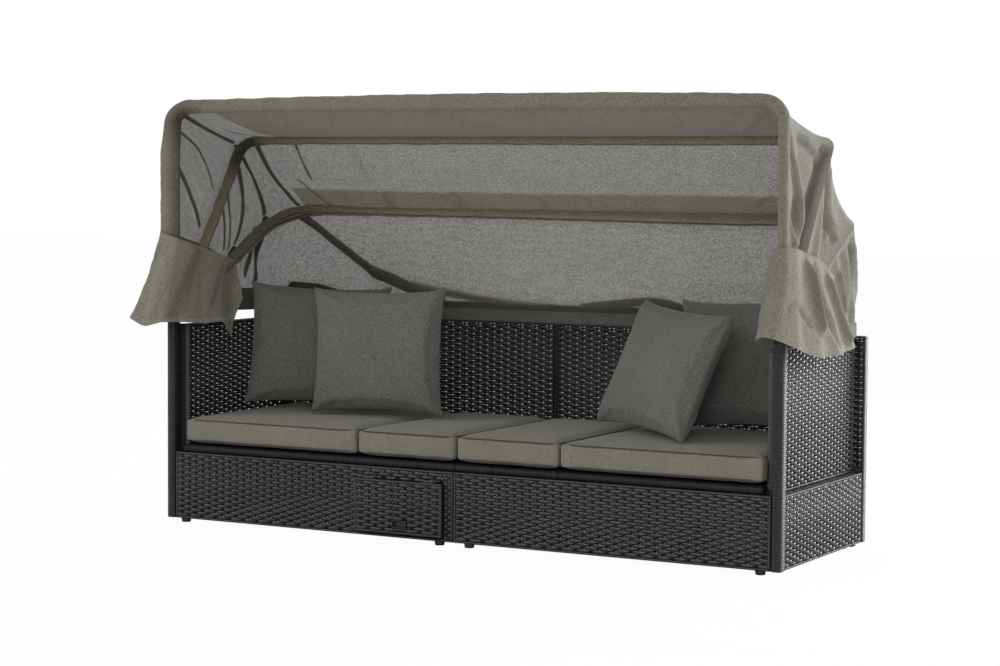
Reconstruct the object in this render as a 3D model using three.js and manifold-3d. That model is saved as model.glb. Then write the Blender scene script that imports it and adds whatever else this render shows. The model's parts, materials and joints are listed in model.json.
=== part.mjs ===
// Outdoor daybed with a folding canopy: two wicker modules side by side, four seat boards,
// four seat cushions, four loose pillows, a storage flap and three hinged canopy bows.
// Millimetres, +Z up. Inside the model x runs along the bench from its middle, y runs back
// from the front face of the base and z runs up from the floor. The whole group is then moved
// so that its origin is the bottom centre of its bounding box.

import * as THREE from "three";
import { mergeVertices } from "three/addons/utils/BufferGeometryUtils.js";
import Module from "manifold-3d";

const wasm = await Module();
wasm.setup();

// Driving dimensions of the bench
const benchLength = 2300;
const benchDepth = 745;
const baseTop = 245;
const backTop = 695;
const sideTop = 690;
const postTop = 722;
const fit = 0.3; // gap between faces that touch
const seam = 3; // dark joint that shows between neighbouring panels
const overrun = 5; // how far a cutting solid passes the face that it cuts

// Wicker panels: a wrapped rim round a thinner woven field
const panelDepth = 34;
const panelRim = 26;
const panelCorner = 9;
const panelBevel = 6;
const fieldDepth = 9;
const fieldInset = 3;
const seatRail = 44; // rail across the back panels at the height of the seat
const postWidth = 32;
const postDepth = 40;
const sideUpperDepth = 30;
const sideRecess = 34; // the open-weave end panel stands back from the outer face
const sideLedgeInside = 26; // ledge inside the end panel that carries a seat board
const channelWall = 14;

// Feet
const footHeight = 12.7;
const footRadius = 15;
const footTopRadius = 17;
const footFlange = 2.5;
const frontFootInset = 71; // outer front foot, from the end of the bench
const middleFootOffset = 56; // inner feet, from the middle of the bench
const rearFootInset = 105; // rear corner foot, from the back face

// Seat boards and what carries them
const boardThickness = 24;
const boardFrontInset = 10;
const boardBackGap = 5;
const boardRim = 38;
const boardTopSkin = 8;
const boardSeamX = 381; // seam between the wide and the narrow board
const boardJoint = 2;
const bearerWidth = 44;
const bearerHeight = 40;
const bearerWall = 3;

// Storage bin and flap in the left module
const binWall = 5;
const binDepth = 400;
const binFloorRise = 12; // above the lower edge of the base panel
const flapLeft = -368;
const flapRight = -33;
const flapBottom = 28;
const flapTop = 205;
const flapThickness = 18;
const flapGap = 2; // between the flap and the panel behind it
const flapOverlap = 13; // the flap covers its opening by this much all round
const pullWidth = 54;
const pullHeight = 27;
const pullRise = 20; // finger pull above the lower edge of the flap
const pullOffset = 9; // finger pull to the right of the flap's middle
const pullDepth = 14;
const pullWall = 2;
const hingePinRadius = 2.5;
const hingeKnuckleRadius = 4.6;
const hingeClearance = 0.3;
const hingeWidth = 42;
const hingeInset = 52; // middle of each hinge from the end of the flap
const hingeTab = 6;
const hingeLift = 5; // pin axis above the upper edge of the flap

// Seat cushions
const seatThickness = 104;
const seatEdge = 84;
const seatFrontInset = 16;
const seatDrawIn = 5;
const seatPuff = 0.8; // lower is plumper
const seatJoint = 4; // between neighbouring cushions
const seatTuck = 3; // to the end and back panels

// Loose pillows
const pillowWidth = 510;
const pillowHeight = 446;
const pillowThickness = 132;
const pillowDrawIn = 20;
const pillowPuff = 0.62; // lower is plumper

// Canopy bows, hinged on the front posts
const foldedBowInset = 20; // crossbars of the folded bows, from the back face of the bench
const pivotLiftHeight = 23; // pivot above the top of the front posts
const frontBendRadius = 70; // radius of the bend between leg and crossbar, measured at the tube's middle
const middleBendRadius = 62;
const backBendRadius = 190;
const tubeRadius = 10;
const tubeWall = 1.5;
const spigotLength = 36;
const spigotClearance = 0.4;
const legEndLength = 90; // straight part of a leg past its bend
const bushRadius = 12;
const bushWidth = 20;
const boltRadius = 4;
const boltClearance = 0.4;
const boltHeadRadius = 9;
const boltHeadWidth = 5;
const nutRadius = 8;
const nutWidth = 7;
const bracketPlate = 4;
const bracketWidth = 26;

// Canopy cloth
const clothThickness = 2.4;
const clothClearance = 1.8; // cloth over the tubes
const frontSideLength = 365; // side of the cover below each bow's bend
const middleSideLength = 400;
const backSideLength = 190;
const middleCoverPuff = 30; // cover outside the legs of the middle bow
const backCoverPuff = 48;
const middleCoverBend = 50; // corners of the cover over the middle bow
const backCoverBend = 80;
const clothJointGap = 1.5; // half of the sewn joint between two cloth panels
const clothSagDepth = 18; // dip of the cover between two bows
const foldDepth = 20;
const roofFoldShare = 0.3; // how much deeper the dip is in a fold of the roof
const sideFoldShare = 0.4;
const hemWaveShare = 0.4; // wave of the curtain's hem, of the fold depth
const roofFolds = 5; // folds across the whole cover
const sideFolds = 13;
const curtainFolds = 9;
const skirtFolds = 3.5; // folds along one skirt
const skirtHemWaves = 2.5;
const skirtCurtainRows = 5; // rows of the back curtain that the skirt is sewn to
const skirtReachShare = 0.4; // front part of the skirt that stands forward
const lipWidth = 42; // sleeve in front of the front bow
const curtainHemHeight = 42; // hem of the back curtain above the back panels
const curtainWrapLength = 150; // how far the hem turns forward above each end panel
const skirtJointGap = 3.6; // below the lower edge of the cover
const skirtFlareWidth = 125; // widest reach of the skirts outside the cover
const skirtCurve = 1.3; // 1 would flare in a straight line
const skirtHemHeight = 703;
const skirtFrontLength = 92; // how far the skirt stands in front of the front bow's sleeve
const skirtLegGap = 8; // between the inside of the skirt and the back bow's legs
const skirtInnerFlare = 25; // reach of its inner side towards the seat
const skirtFrontDepth = 11; // from its inner front corner back to the sleeve

// Facets: sides of rods and tubes, steps round a bend, and points across one side, one corner
// and half of the roof of the cover
const tubeSides = 10;
const rodSides = 16;
const footSides = 12;
const hexSides = 6;
const bendSteps = 6;
const archSideSteps = 5;
const archCornerSteps = 6;
const archRoofSteps = 9;
const coverSteps = 6; // rows of cloth between two bows
const skirtSteps = 5;

const wickerColour = 0x3c3e40;
const blackColour = 0x17181a;
const boltColour = 0x6c6e70;
const tubeColour = 0x3a3430;
const clothColour = 0x857e6e;
const seatColour = 0x8a8474;
const pillowColour = 0x4b4c48;
const boardColour = 0x34363a;

const finishes = {
  wicker: { color: wickerColour, roughness: 0.55, metalness: 0 },
  board: { color: boardColour, roughness: 0.6, metalness: 0 },
  black: { color: blackColour, roughness: 0.6, metalness: 0 },
  bolt: { color: boltColour, roughness: 0.35, metalness: 0.9 },
  tube: { color: tubeColour, roughness: 0.45, metalness: 0.6 },
  cloth: { color: clothColour, roughness: 0.95, metalness: 0 },
  seat: { color: seatColour, roughness: 0.95, metalness: 0 },
  pillow: { color: pillowColour, roughness: 0.95, metalness: 0 },
};

const halfLength = benchLength / 2;
const pivotHeight = postTop + pivotLiftHeight;
const pivotY = postDepth / 2;
const bowRadius = benchDepth - foldedBowInset - pivotY; // pivot to the middle of the crossbar
const backFront = benchDepth - panelDepth;
const panelBottom = footHeight + fit;
const degrees = THREE.MathUtils.degToRad;

// Shared helpers

function mesh(name, geometry, finish) {
  const material = new THREE.MeshStandardMaterial(finishes[finish]);
  const piece = new THREE.Mesh(geometry, material);
  piece.name = name;
  return piece;
}

function toSolid(geometry) {
  const bare = geometry.clone();
  bare.deleteAttribute("normal");
  bare.deleteAttribute("uv");
  const merged = mergeVertices(bare);
  const vertProperties = new Float32Array(merged.attributes.position.array);
  const triVerts = new Uint32Array(merged.index.array);
  return new wasm.Manifold(new wasm.Mesh({ numProp: 3, vertProperties, triVerts }));
}

function toGeometry(solid) {
  const { vertProperties, triVerts } = solid.getMesh();
  const geometry = new THREE.BufferGeometry();
  geometry.setAttribute("position", new THREE.BufferAttribute(vertProperties, 3));
  geometry.setIndex(new THREE.BufferAttribute(triVerts, 1));
  return geometry;
}

function cut(body, ...tools) {
  return toGeometry(tools.reduce((solid, tool) => solid.subtract(toSolid(tool)), toSolid(body)));
}

function join(body, ...others) {
  return toGeometry(others.reduce((solid, other) => solid.add(toSolid(other)), toSolid(body)));
}

// A box given by its lowest and highest corner
function block(low, high) {
  const size = high.map((value, i) => value - low[i]);
  const middle = high.map((value, i) => (value + low[i]) / 2);
  return new THREE.BoxGeometry(...size).translate(...middle);
}

function roundedOutline(width, height, radius) {
  const outline = new THREE.Shape();
  outline.moveTo(radius, 0);
  outline.lineTo(width - radius, 0);
  outline.absarc(width - radius, radius, radius, -Math.PI / 2, 0);
  outline.lineTo(width, height - radius);
  outline.absarc(width - radius, height - radius, radius, 0, Math.PI / 2);
  outline.lineTo(radius, height);
  outline.absarc(radius, height - radius, radius, Math.PI / 2, Math.PI);
  outline.lineTo(0, radius);
  outline.absarc(radius, radius, radius, Math.PI, 1.5 * Math.PI);
  return outline;
}

// Slab with a rounded outline and softened edges, drawn in x and y and thick in z
function slab(width, height, depth, radius = panelCorner, bevel = panelBevel) {
  return new THREE.ExtrudeGeometry(roundedOutline(width, height, radius), {
    depth: depth - 2 * bevel,
    curveSegments: 2,
    bevelThickness: bevel,
    bevelSize: bevel,
    bevelOffset: -bevel,
    bevelSegments: 1,
  }).translate(0, 0, bevel);
}

// Stands a slab up so that it faces the front (x, z outline, thick in y)
const standFacingFront = new THREE.Matrix4().makeBasis(
  new THREE.Vector3(1, 0, 0), new THREE.Vector3(0, 0, 1), new THREE.Vector3(0, -1, 0));
// Stands a slab up so that it faces the end (y, z outline, thick in x)
const standFacingEnd = new THREE.Matrix4().makeBasis(
  new THREE.Vector3(0, 1, 0), new THREE.Vector3(0, 0, 1), new THREE.Vector3(1, 0, 0));

// A woven panel: rim at full depth, field set back on the seen side and open on the other.
// windows are [left, bottom, right, top] in the outline's own x and y.
function wovenPanel(width, height, depth, windows) {
  const tools = windows.flatMap(([left, bottom, right, top]) => [
    block([left, bottom, depth - fieldInset], [right, top, depth + overrun]),
    block([left, bottom, -overrun], [right, top, depth - fieldInset - fieldDepth]),
  ]);
  return cut(slab(width, height, depth), ...tools);
}

function mirrored(geometry) {
  const flipped = geometry.clone().applyMatrix4(new THREE.Matrix4().makeScale(-1, 1, 1));
  const index = flipped.index ? flipped : mergeVertices(flipped);
  const order = index.index.array;
  for (let i = 0; i < order.length; i += 3) {
    [order[i], order[i + 1]] = [order[i + 1], order[i]];
  }
  return index;
}

// Places a right-hand piece as it is, or its mirror image on the left
function handed(geometry, side) {
  return side > 0 ? geometry : mirrored(geometry);
}

const sides = [{ side: -1, hand: "left" }, { side: 1, hand: "right" }];

// Base and back panels

const frontPanelWidth = halfLength - postWidth - 1.5 * seam;

function frontPanel(side) {
  const height = baseTop - panelBottom;
  const windows = [[panelRim, panelRim, frontPanelWidth - panelRim, height - panelRim]];
  const panel = wovenPanel(frontPanelWidth, height, panelDepth, windows)
    .applyMatrix4(standFacingFront)
    .translate(seam / 2, panelDepth, panelBottom);
  if (side > 0) return panel;
  // The left panel has the storage opening inside a wrapped rim of its own
  const rim = block([flapLeft - panelRim, fieldInset, panelBottom + panelBevel],
    [flapRight, panelDepth - panelBevel, baseTop - panelBevel]);
  const opening = block([flapLeft + flapOverlap, -overrun, flapBottom + flapOverlap],
    [flapRight - flapOverlap, panelDepth + overrun, flapTop - flapOverlap]);
  return cut(join(mirrored(panel), rim), opening);
}

function post() {
  return slab(postWidth, postTop - panelBottom, postDepth, panelCorner, panelBevel)
    .applyMatrix4(standFacingFront)
    .translate(halfLength - postWidth, postDepth, panelBottom);
}

const endFront = postDepth + fit;
const endBack = backFront - fit;

// Closed lower end panel: a channel, open below, whose top is the ledge
function endBase() {
  const inside = halfLength - sideRecess - sideUpperDepth - sideLedgeInside;
  const outline = new THREE.Shape();
  outline.moveTo(inside, panelBottom);
  outline.lineTo(inside + channelWall, panelBottom);
  outline.lineTo(inside + channelWall, baseTop - channelWall);
  outline.lineTo(halfLength - channelWall, baseTop - channelWall);
  outline.lineTo(halfLength - channelWall, panelBottom);
  outline.lineTo(halfLength, panelBottom);
  outline.lineTo(halfLength, baseTop - panelBevel);
  outline.lineTo(halfLength - panelBevel, baseTop);
  outline.lineTo(inside, baseTop);
  const length = endBack - endFront;
  return new THREE.ExtrudeGeometry(outline, { depth: length, bevelEnabled: false })
    .applyMatrix4(standFacingFront)
    .translate(0, endBack, 0);
}

function endUpper() {
  const length = endBack - endFront;
  const height = sideTop - baseTop - fit;
  const windows = [[panelRim, panelRim, length - panelRim, height - panelRim]];
  return wovenPanel(length, height, sideUpperDepth, windows)
    .applyMatrix4(standFacingEnd)
    .translate(halfLength - sideRecess - sideUpperDepth, endFront, baseTop + fit);
}

function backPanel() {
  const width = halfLength - seam / 2;
  const height = backTop - panelBottom;
  const railBottom = baseTop - panelBottom - seatRail / 2;
  const windows = [
    [panelRim, panelRim, width - panelRim, railBottom],
    [panelRim, railBottom + seatRail, width - panelRim, height - panelRim],
  ];
  return wovenPanel(width, height, panelDepth, windows)
    .applyMatrix4(standFacingFront)
    .translate(seam / 2, benchDepth, panelBottom);
}

function foot() {
  const profile = [
    new THREE.Vector2(0, 0),
    new THREE.Vector2(footRadius, 0),
    new THREE.Vector2(footTopRadius, footHeight - footFlange),
    new THREE.Vector2(footTopRadius, footHeight),
    new THREE.Vector2(0, footHeight),
  ];
  return new THREE.LatheGeometry(profile, footSides).rotateX(Math.PI / 2);
}

// The rear corner foot has a plate that bridges the open underside of the end channel
function cornerFoot() {
  const bridge = sideRecess + sideUpperDepth + sideLedgeInside;
  const plate = block([-bridge / 2, -footTopRadius, footHeight - footFlange],
    [bridge / 2, footTopRadius, footHeight]);
  return join(foot(), plate);
}

const channelMiddle = halfLength - (sideRecess + sideUpperDepth + sideLedgeInside) / 2;
const footPlaces = [
  ["front_outer", halfLength - frontFootInset, panelDepth / 2],
  ["front_inner", middleFootOffset, panelDepth / 2],
  ["rear_inner", middleFootOffset, benchDepth - panelDepth / 2],
];

function makeBase() {
  const base = new THREE.Group();
  for (const { side, hand } of sides) {
    base.add(mesh(`front_panel_${hand}`, frontPanel(side), "wicker"));
    base.add(mesh(`post_${hand}`, handed(post(), side), "wicker"));
    base.add(mesh(`end_base_${hand}`, handed(endBase(), side), "wicker"));
    base.add(mesh(`end_panel_${hand}`, handed(endUpper(), side), "wicker"));
    base.add(mesh(`back_panel_${hand}`, handed(backPanel(), side), "wicker"));
    for (const [place, x, y] of footPlaces) {
      const glide = mesh(`foot_${place}_${hand}`, foot(), "black");
      glide.position.set(side * x, y, 0);
      base.add(glide);
    }
    const corner = mesh(`foot_rear_outer_${hand}`, cornerFoot(), "black");
    corner.position.set(side * channelMiddle, benchDepth - rearFootInset, 0);
    base.add(corner);
  }
  return base;
}

// Seat boards and the bearers under their seams

const boardBottom = baseTop + fit;
const boardTop = boardBottom + boardThickness;
const seatEnd = halfLength - sideRecess - sideUpperDepth;
const boardSpans = [
  ["narrow", boardJoint / 2, boardSeamX - boardJoint / 2],
  ["wide", boardSeamX + boardJoint / 2, seatEnd - boardJoint],
];

function seatBoard(width) {
  const depth = backFront - boardBackGap - boardFrontInset;
  const pocket = block([boardRim, boardRim, -overrun],
    [width - boardRim, depth - boardRim, boardThickness - boardTopSkin]);
  return cut(slab(width, depth, boardThickness), pocket);
}

function bearer() {
  const outline = roundedOutline(bearerWidth, bearerHeight, bearerWall);
  const bore = new THREE.Path();
  bore.moveTo(bearerWall, bearerWall);
  bore.lineTo(bearerWall, bearerHeight - bearerWall);
  bore.lineTo(bearerWidth - bearerWall, bearerHeight - bearerWall);
  bore.lineTo(bearerWidth - bearerWall, bearerWall);
  outline.holes.push(bore);
  const length = backFront - panelDepth - 2 * fit;
  return new THREE.ExtrudeGeometry(outline, { depth: length, bevelEnabled: false, curveSegments: 2 })
    .applyMatrix4(standFacingFront)
    .translate(-bearerWidth / 2, backFront - fit, baseTop - bearerHeight);
}

function storageBin() {
  const left = -boardSeamX + bearerWidth / 2 + fit;
  const right = -bearerWidth / 2 - fit;
  const front = panelDepth + fit;
  const floor = panelBottom + binFloorRise;
  const top = baseTop - fit;
  const inside = block([left + binWall, front - overrun, floor + binWall],
    [right - binWall, front + binDepth - binWall, top + overrun]);
  return cut(block([left, front, floor], [right, front + binDepth, top]), inside);
}

function makeSeatFrame() {
  const frame = new THREE.Group();
  for (const { side, hand } of sides) {
    for (const [size, near, far] of boardSpans) {
      const board = mesh(`seat_board_${size}_${hand}`, seatBoard(far - near), "board");
      board.position.set(side > 0 ? near : -far, boardFrontInset, boardBottom);
      frame.add(board);
    }
    const seamBearer = mesh(`bearer_${hand}`, bearer(), "black");
    seamBearer.position.x = side * boardSeamX;
    frame.add(seamBearer);
  }
  frame.add(mesh("bearer_centre", bearer(), "black"));
  frame.add(mesh("storage_bin", storageBin(), "black"));
  return frame;
}

// Storage flap, hinged along its upper edge

const hingeAxisY = -flapGap - hingeKnuckleRadius;
const hingeAxisZ = flapTop + hingeLift;
const hingeMiddles = [flapLeft + hingeInset, flapRight - hingeInset];

function flapPanel() {
  const width = flapRight - flapLeft;
  const height = flapTop - flapBottom;
  const body = slab(width, height, flapThickness)
    .applyMatrix4(standFacingFront)
    .translate(flapLeft, -flapGap, flapBottom);
  const [left, right] = pullSpan();
  const socket = block([left, -flapGap - flapThickness - overrun, flapBottom + pullRise],
    [right, -flapGap + overrun, flapBottom + pullRise + pullHeight]);
  return cut(body, socket);
}

function pullSpan() {
  const middle = (flapLeft + flapRight) / 2 + pullOffset;
  return [middle - pullWidth / 2, middle + pullWidth / 2];
}

// Recessed finger pull, a cup that opens to the front
function fingerPull() {
  const [left, right] = pullSpan();
  const front = -flapGap - flapThickness;
  const bottom = flapBottom + pullRise;
  const cup = block([left + fit, front, bottom + fit],
    [right - fit, front + pullDepth, bottom + pullHeight - fit]);
  const hollow = block([left + fit + pullWall, front - overrun, bottom + fit + pullWall],
    [right - fit - pullWall, front + pullDepth - pullWall, bottom + pullHeight - fit - pullWall]);
  return cut(cup, hollow);
}

function rodAlongX(radius, from, to, segments = rodSides) {
  return new THREE.CylinderGeometry(radius, radius, to - from, segments)
    .rotateZ(Math.PI / 2)
    .translate((from + to) / 2, 0, 0);
}

// Knuckle round the pin, with a foot that stands on the upper edge of the flap
function hingeKnuckle() {
  const barrel = rodAlongX(hingeKnuckleRadius, -hingeWidth / 2, hingeWidth / 2);
  const leg = block([-hingeWidth / 2, -hingeKnuckleRadius, -hingeLift + fit],
    [hingeWidth / 2, hingeKnuckleRadius, -hingePinRadius]);
  const bore = rodAlongX(hingePinRadius + hingeClearance, -hingeWidth, hingeWidth);
  return cut(join(barrel, leg), bore);
}

// Pin carried by a tab at each end, fixed to the woven face of the front panel
function hingePin() {
  const half = hingeWidth / 2 + hingeTab + hingeClearance;
  const tabs = [-1, 1].map((end) => {
    const inner = hingeWidth / 2 + hingeClearance;
    const low = [Math.min(end * inner, end * half), -hingePinRadius, -hingePinRadius];
    const high = [Math.max(end * inner, end * half), fieldInset - hingeAxisY - fit, hingePinRadius];
    return block(low, high);
  });
  return join(rodAlongX(hingePinRadius, -half, half), ...tabs);
}

function makeFlap() {
  const flap = new THREE.Group();
  flap.add(mesh("flap", flapPanel(), "wicker"));
  flap.add(mesh("flap_finger_pull", fingerPull(), "black"));
  hingeMiddles.forEach((x, i) => {
    const knuckle = mesh(`flap_hinge_${i + 1}`, hingeKnuckle(), "wicker");
    const pin = mesh(`flap_pin_${i + 1}`, hingePin(), "bolt");
    for (const piece of [knuckle, pin]) piece.position.set(x, hingeAxisY, hingeAxisZ);
    flap.add(knuckle, pin);
  });
  return flap;
}

// Cushions and pillows

// Closed soft form: crowned above and below, sides drawn in between the corners.
// edge is the height of its side wall, or zero for a knife edge.
function softForm({ width, depth, thickness, edge, drawIn, puff, across, along }) {
  const positions = [];
  const index = [];
  const at = (u, v, z) => {
    const x = u * (width / 2 - drawIn * (1 - v * v));
    const y = v * (depth / 2 - drawIn * (1 - u * u));
    positions.push(x, y, z);
    return positions.length / 3 - 1;
  };
  const rise = (u, v) => {
    const swell = Math.max((1 - u ** 4) * (1 - v ** 4), 0);
    return edge / 2 + ((thickness - edge) / 2) * swell ** puff;
  };
  const grid = (sign) => {
    const rows = [];
    for (let j = 0; j <= along; j++) {
      const row = [];
      for (let i = 0; i <= across; i++) {
        const u = Math.sin((i / across - 0.5) * Math.PI);
        const v = Math.sin((j / along - 0.5) * Math.PI);
        row.push(at(u, v, sign * rise(u, v)));
      }
      rows.push(row);
    }
    return rows;
  };
  const quad = (a, b, c, d) => index.push(a, b, c, a, c, d);
  // Each quarter of the form is split so that its corner lies on a diagonal
  const cell = (corners, turned) => {
    if (turned) corners.push(corners.shift());
    quad(...corners);
  };
  const top = grid(1);
  const bottom = grid(-1);
  for (let j = 0; j < along; j++) {
    for (let i = 0; i < across; i++) {
      const turned = (i < across / 2) !== (j < along / 2);
      cell([top[j][i], top[j][i + 1], top[j + 1][i + 1], top[j + 1][i]], turned);
      cell([bottom[j][i], bottom[j + 1][i], bottom[j + 1][i + 1], bottom[j][i + 1]], turned);
    }
  }
  if (edge > 0) {
    const rim = (rows) => [
      ...rows[0],
      ...rows.slice(1).map((row) => row[across]),
      ...rows[along].slice(0, across).reverse(),
      ...rows.slice(1, along).map((row) => row[0]).reverse(),
    ];
    const upper = rim(top);
    const lower = rim(bottom);
    upper.forEach((a, i) => {
      const next = (i + 1) % upper.length;
      quad(lower[i], lower[next], upper[next], a);
    });
  }
  const geometry = new THREE.BufferGeometry();
  geometry.setAttribute("position", new THREE.Float32BufferAttribute(positions, 3));
  geometry.setIndex(index);
  return mergeVertices(geometry);
}

const seatDepth = backFront - seatTuck - seatFrontInset;
const seatMiddleY = seatFrontInset + seatDepth / 2;
const seatMiddleZ = boardTop + fit + seatThickness / 2;
const seatTop = seatMiddleZ + seatThickness / 2;
const seatSpans = [
  ["narrow", seatJoint / 2, boardSeamX - seatJoint / 2, 8],
  ["wide", boardSeamX + seatJoint / 2, seatEnd - seatTuck, 12],
];

function makeSeatCushions() {
  const seat = new THREE.Group();
  for (const { side, hand } of sides) {
    for (const [size, near, far, across] of seatSpans) {
      const form = softForm({
        width: far - near,
        depth: seatDepth,
        thickness: seatThickness,
        edge: seatEdge,
        drawIn: seatDrawIn,
        puff: seatPuff,
        across,
        along: 10,
      });
      const cushion = mesh(`seat_cushion_${size}_${hand}`, form, "seat");
      cushion.position.set(side * (near + far) / 2, seatMiddleY, seatMiddleZ);
      seat.add(cushion);
    }
  }
  return seat;
}

// Middle of each pillow's lower edge, as shares of half the seat's length and of its depth, and
// its turn, backward lean and roll in degrees
const pillowShares = [
  ["pillow_left_back", -0.7577, 0.607, 24, 9, -2],
  ["pillow_left_front", -0.4572, 0.4538, 5, 5, 1],
  ["pillow_right_front", 0.5024, 0.3497, -31, 24, -3],
  ["pillow_right_back", 0.742, 0.6676, -6, 14, 3],
];

// Height that a piece can fall before it meets the pieces below it
function fallOnto(supports, piece) {
  const ray = new THREE.Raycaster();
  const gaps = [];
  const castAll = (from, targets, direction) => {
    const places = from.geometry.attributes.position;
    for (let i = 0; i < places.count; i++) {
      ray.set(new THREE.Vector3().fromBufferAttribute(places, i).applyMatrix4(from.matrixWorld), direction);
      const [hit] = ray.intersectObjects(targets);
      if (hit) gaps.push(hit.distance);
    }
  };
  castAll(piece, supports, new THREE.Vector3(0, 0, -1));
  for (const support of supports) castAll(support, [piece], new THREE.Vector3(0, 0, 1));
  return Math.min(...gaps);
}

function makePillows(seat) {
  const group = new THREE.Group();
  seat.updateMatrixWorld(true);
  for (const [name, lengthShare, depthShare, turn, lean, roll] of pillowShares) {
    const form = softForm({
      width: pillowWidth,
      depth: pillowHeight,
      thickness: pillowThickness,
      edge: 0,
      drawIn: pillowDrawIn,
      puff: pillowPuff,
      across: 12,
      along: 12,
    })
      .translate(0, pillowHeight / 2, 0)
      .rotateZ(degrees(roll))
      .rotateX(degrees(90 - lean))
      .rotateZ(degrees(turn));
    const pillow = mesh(name, form, "pillow");
    const start = seatTop + pillowThickness;
    pillow.position.set(lengthShare * seatEnd, seatFrontInset + depthShare * seatDepth, start);
    pillow.updateMatrixWorld(true);
    pillow.position.z -= fallOnto(seat.children, pillow) - fit;
    group.add(pillow);
  }
  return group;
}

// Canopy bows

const frontLegX = halfLength - boltHeadWidth + fit - bushWidth / 2;
const plateX = frontLegX - bushWidth / 2 - fit - bracketPlate / 2;
const middleLegX = plateX - bracketPlate / 2 - fit - bushWidth / 2;
const backLegX = middleLegX - bushWidth - fit;

// tilt is the angle of the opened bow behind the vertical, in degrees
const bows = [
  {
    place: "front", tilt: 0, legX: frontLegX, bend: frontBendRadius, side: frontSideLength,
    puff: 0, coverBend: frontBendRadius + tubeRadius + clothClearance,
  },
  {
    place: "middle", tilt: 33.5, legX: middleLegX, bend: middleBendRadius, side: middleSideLength,
    puff: middleCoverPuff, coverBend: middleCoverBend,
  },
  {
    place: "back", tilt: 61.5, legX: backLegX, bend: backBendRadius, side: backSideLength,
    puff: backCoverPuff, coverBend: backCoverBend,
  },
];

// Hollow round tube through stations { x, z, angle } in the x, z plane, where angle is the
// direction of travel measured from +z towards -x
function tubeThrough(stations, outer, inner) {
  const positions = [];
  const index = [];
  const ring = ({ x, z, angle }, radius) => {
    for (let i = 0; i < tubeSides; i++) {
      const turn = (2 * Math.PI * i) / tubeSides;
      const out = radius * Math.cos(turn);
      positions.push(x + out * Math.cos(angle), radius * Math.sin(turn), z + out * Math.sin(angle));
    }
    return positions.length / 3 - tubeSides;
  };
  const band = (from, to) => {
    for (let i = 0; i < tubeSides; i++) {
      const next = (i + 1) % tubeSides;
      index.push(from + i, from + next, to + next, from + i, to + next, to + i);
    }
  };
  const outerRings = stations.map((station) => ring(station, outer));
  const innerRings = stations.map((station) => ring(station, inner));
  const loop = [...outerRings, ...innerRings.reverse()];
  loop.forEach((start, i) => band(start, loop[(i + 1) % loop.length]));
  const geometry = new THREE.BufferGeometry();
  geometry.setAttribute("position", new THREE.Float32BufferAttribute(positions, 3));
  geometry.setIndex(index);
  return geometry;
}

// Right-hand leg of a bow, in the bow's own plane with the pivot at its origin
function bowLeg({ legX, bend }) {
  const stations = [{ x: legX, z: 0, angle: 0 }];
  for (let i = 0; i <= bendSteps; i++) {
    const angle = (Math.PI / 2) * (i / bendSteps);
    stations.push({
      x: legX - bend * (1 - Math.cos(angle)),
      z: bowRadius - bend * (1 - Math.sin(angle)),
      angle,
    });
  }
  stations.push({ x: legX - bend - legEndLength, z: bowRadius, angle: Math.PI / 2 });
  const tube = tubeThrough(stations, tubeRadius, tubeRadius - tubeWall);
  const bush = rodAlongX(bushRadius, legX - bushWidth / 2, legX + bushWidth / 2);
  const bore = rodAlongX(boltRadius + boltClearance, legX - bushWidth, legX + bushWidth);
  return cut(join(tube, bush), bore);
}

// Crossbar with a reduced spigot at each end that plugs into the legs
function bowBar({ legX, bend }) {
  const end = legX - bend - legEndLength - fit;
  const spigot = tubeRadius - tubeWall - spigotClearance;
  const profile = [
    new THREE.Vector2(spigot - tubeWall, -end - spigotLength),
    new THREE.Vector2(spigot, -end - spigotLength),
    new THREE.Vector2(spigot, -end),
    new THREE.Vector2(tubeRadius, -end),
    new THREE.Vector2(tubeRadius, end),
    new THREE.Vector2(spigot, end),
    new THREE.Vector2(spigot, end + spigotLength),
    new THREE.Vector2(spigot - tubeWall, end + spigotLength),
    new THREE.Vector2(spigot - tubeWall, -end - spigotLength),
  ];
  return new THREE.LatheGeometry(profile, tubeSides).rotateZ(Math.PI / 2).translate(0, 0, bowRadius);
}

function bracket() {
  const sole = postTop + fit;
  const plateLow = plateX - bracketPlate / 2;
  const plateHigh = plateX + bracketPlate / 2;
  const foot = block([plateLow, 0, sole], [halfLength - fit, postDepth, sole + bracketPlate]);
  const plate = block([plateLow, pivotY - bracketWidth / 2, sole],
    [plateHigh, pivotY + bracketWidth / 2, pivotHeight]);
  const crown = rodAlongX(bracketWidth / 2, plateLow, plateHigh).translate(0, pivotY, pivotHeight);
  const hole = rodAlongX(boltRadius + boltClearance, plateLow - overrun, plateHigh + overrun)
    .translate(0, pivotY, pivotHeight);
  return cut(join(foot, plate, crown), hole);
}

const boltInner = backLegX - bushWidth / 2 - fit - nutWidth;

function pivotBolt() {
  const headInner = frontLegX + bushWidth / 2 + fit;
  const shank = rodAlongX(boltRadius, boltInner, headInner + boltHeadWidth / 2);
  const head = rodAlongX(boltHeadRadius, headInner, headInner + boltHeadWidth, hexSides);
  return join(shank, head);
}

function pivotNut() {
  const outer = rodAlongX(nutRadius, boltInner, boltInner + nutWidth, hexSides);
  const bore = rodAlongX(boltRadius + fit, boltInner - overrun, boltInner + nutWidth + overrun);
  return cut(outer, bore);
}

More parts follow.
